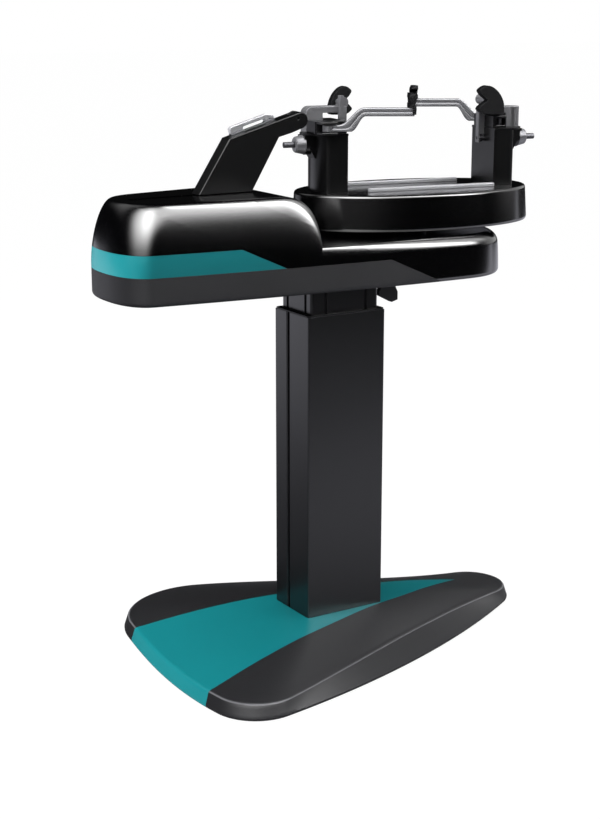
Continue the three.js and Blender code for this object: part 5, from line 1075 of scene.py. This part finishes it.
def pad(end, inner, width, height):
    """The pad's outline as a thick plate, with shares of its width and height."""
    top = max(z for u, z in PAD_LINE)
    curved = smoothed(PAD_LINE, PAD_STEPS)
    line = [(inner + (u - PAD_INNER) * width, top + (z - top) * height) for u, z in curved]
    form = bmesh.new()
    skinned(form, [on_table(form, end, [(u, v, z) for u, z in line]) for v in PAD_V])
    bmesh.ops.recalc_face_normals(form, faces=form.faces)
    return form


def turned_part(form, end, u, v, profile):
    """An upright part through radius and height pairs, closed from the last to the first."""
    rings = []
    for radius, z in profile:
        plan = arc(u, v, radius, 0, 2 * math.pi, PROFILE_SIDES)[:-1]
        rings.append(on_table(form, end, level(plan, z)))
    skinned(form, rings + rings[:1], capped=False)


def side_arm(end):
    """A grooved bar, bent down to its eye, with the claw's pin at its tip."""
    stations = [(s, ARM_TOP, s, ARM_UNDER, share) for s, share in ARM_STRAIGHT]
    stations += [(*on_curve(ARM_BEND, i / BEND_STEPS), 1) for i in range(BEND_STEPS + 1)]
    stations.append((EYE_REACH, EYE_TOP, EYE_REACH, EYE_UNDER, 1))
    section = [*ARM_SECTION, (1, 0), *((up, -out) for up, out in ARM_SECTION[:0:-1])]
    along = (math.cos(ARM_AIM), math.sin(ARM_AIM))
    across = (-along[1], along[0])
    rings = []
    for top_s, top, under_s, under, share in stations:
        ring = []
        for up, out in section:
            s, side = under_s + (top_s - under_s) * up, out * share * ARM_HALF
            u, v = (start + s * a + side * b for start, a, b in zip(ARM_START, along, across))
            ring.append((*table_place(end * u, end * v), under + (top - under) * up))
        rings.append(ring)
    form = lofted(rings)
    turned_part(form, end, *(start + EYE_PLACE * way for start, way in zip(ARM_START, along)), EYE_PROFILE)
    turned_part(form, end, *ARM_START, PIN_PROFILE)
    bmesh.ops.recalc_face_normals(form, faces=form.faces)
    return form


def claw_share(z):
    """The share of a claw's width that is kept at a height."""
    for (low, one), (high, two) in zip(CLAW_LEVELS, CLAW_LEVELS[1:]):
        if z <= high:
            share = min(max((z - low) / (high - low), 0), 1)
            return one + (two - one) * (3 - 2 * share) * share ** 2
    return CLAW_LEVELS[-1][1]


def waisted(form, end):
    """Gives a claw its round head, waist and body."""
    parted(form, [((0, 0, z), (0, 0, 1)) for z in CLAW_CUTS])
    for vert in form.verts:
        u, v = in_table(vert.co, end * CLAW_PIN[0], end * CLAW_PIN[1])
        shifted(vert, u * (1 - claw_share(vert.co.z / MM)))


for side, end in (("left", -1), ("right", 1)):
    refined("tower_post_" + side, tower_black, width=0.8, steps=3)
    refined("support_head_" + side, tower_black, width=0.8, steps=3)
    refined("clamp_bolt_" + side, bright_steel)
    node = "frame_bracket_" + side
    form = copied(node)
    slim_hub(form, end)
    raised_bar(form, BAR_UNDER[side])
    if side == "right":
        drum_leg(form)
    bevelled(own(node + "_piece", shaded("bracket", form), silver, node), width=0.8, steps=3)
    node = "frame_pad_" + side
    form = pad(end, *PAD_SIZES[side])
    bevelled(own(node + "_piece", shaded("pad", form, 40), rubber, node), width=1.0, steps=3)
    node = "adjust_screw_" + side
    refined(node, bright_steel)
    refined("adjust_knob_" + side, silver, width=0.6, steps=3)
    ends = []
    for reach in THREAD_ENDS:
        x, y = table_place(end * reach, 0)
        ends.append(Vector((x * MM + AXIS.x, y * MM + AXIS.y, SCREW_Z * MM)))
    screw_between("screw_thread_" + side, node, *ends, THREAD_RADIUS, THREAD_PITCH, THREAD_DEPTH,
                  replace=False)
for arm, end in (("near", 1), ("far", -1)):
    node = "side_arm_" + arm
    own(node + "_piece", shaded("arm", side_arm(-end), 40), silver, node)
    node = "side_claw_" + arm
    form = copied(node)
    waisted(form, end)
    own(node + "_piece", shaded("claw", form, 50), rubber, node)


# Tension head. A flat powder-coated tower leans from the housing to a round nose with a rubber
# wheel, and a two-jaw gripper of cast alloy lies on its slope.
GRIPPER_PLACE, GRIPPER_SLOPE = (-178, 1087.4), math.radians(15.5)
GRIPPER_DEPTH = (1, 11.5)
# Outlines along and above the slope, from the gripper's middle
LOWER_JAW = (
    (-50.5, 0.4), (50.5, 0.4), (50.5, 2.7), (29, 2.7), (27, 1.2), (-20, 1.2), (-22, 2.7), (-50.5, 2.7))
UPPER_JAW = (
    (-50.5, 3.1), (-22, 3.1), (-22, 7), (-20, 8.8), (27, 8.8), (29, 7), (29, 3.1), (38, 3.1), (38, 7),
    (41, 7), (41, 3.1), (50.5, 3.1), (50.5, 9), (34, 16.2), (-46, 16.2), (-50.5, 13))

# Fine dark powder coat: smoother than on the towers, nearly black with a soft sheen
head_paint = coated("dark_powder_coat", "#040405", 0.34, grain=0.08, grain_mm=0.8, level=0.35, wear=0.03)
# Cast alloy, polished: the brightest metal of the machine
gripper_silver = coated("polished_cast_alloy", "#c4c4c8", 0.4, metallic=0.35, grain=0.12, grain_mm=0.6,
                        level=0.7, shade=0.05, wear=0.04)
refined("head_tower", head_paint, width=0.8, steps=3)
refined("nose_roller", rubber)
refined("roller_axle", bright_steel)


def on_slope(outline, depth):
    """A solid with an outline on the head's sloping top, between two depths across it."""
    form = bmesh.new()
    x, z = GRIPPER_PLACE
    run, rise = math.cos(GRIPPER_SLOPE), math.sin(GRIPPER_SLOPE)
    side = [(x + along * run - up * rise, z + along * rise + up * run) for along, up in outline]
    skinned(form, [placed(form, [(px, y, pz) for px, pz in side]) for y in depth])
    bmesh.ops.recalc_face_normals(form, faces=form.faces)
    return form


seat = shaded("gripper_seat", on_slope(LOWER_JAW, GRIPPER_DEPTH))
bevelled(own("gripper_seat", seat, steel, "gripper_lower"), width=0.3)
bar = shaded("gripper_bar", on_slope(UPPER_JAW, GRIPPER_DEPTH))
bevelled(own("gripper_bar", bar, gripper_silver, "gripper_upper"), width=1.0, steps=3)


# Brake and mains inlet, both under the housing: a folded steel hanger with its black lever, and
# a moulded inlet with three pins and a rocker switch.
refined("brake_bracket", steel)
refined("brake_lever", satin_black, width=0.8, steps=3)
refined("power_inlet", satin_black, width=0.3)
refined("power_switch", satin_black, width=0.3)
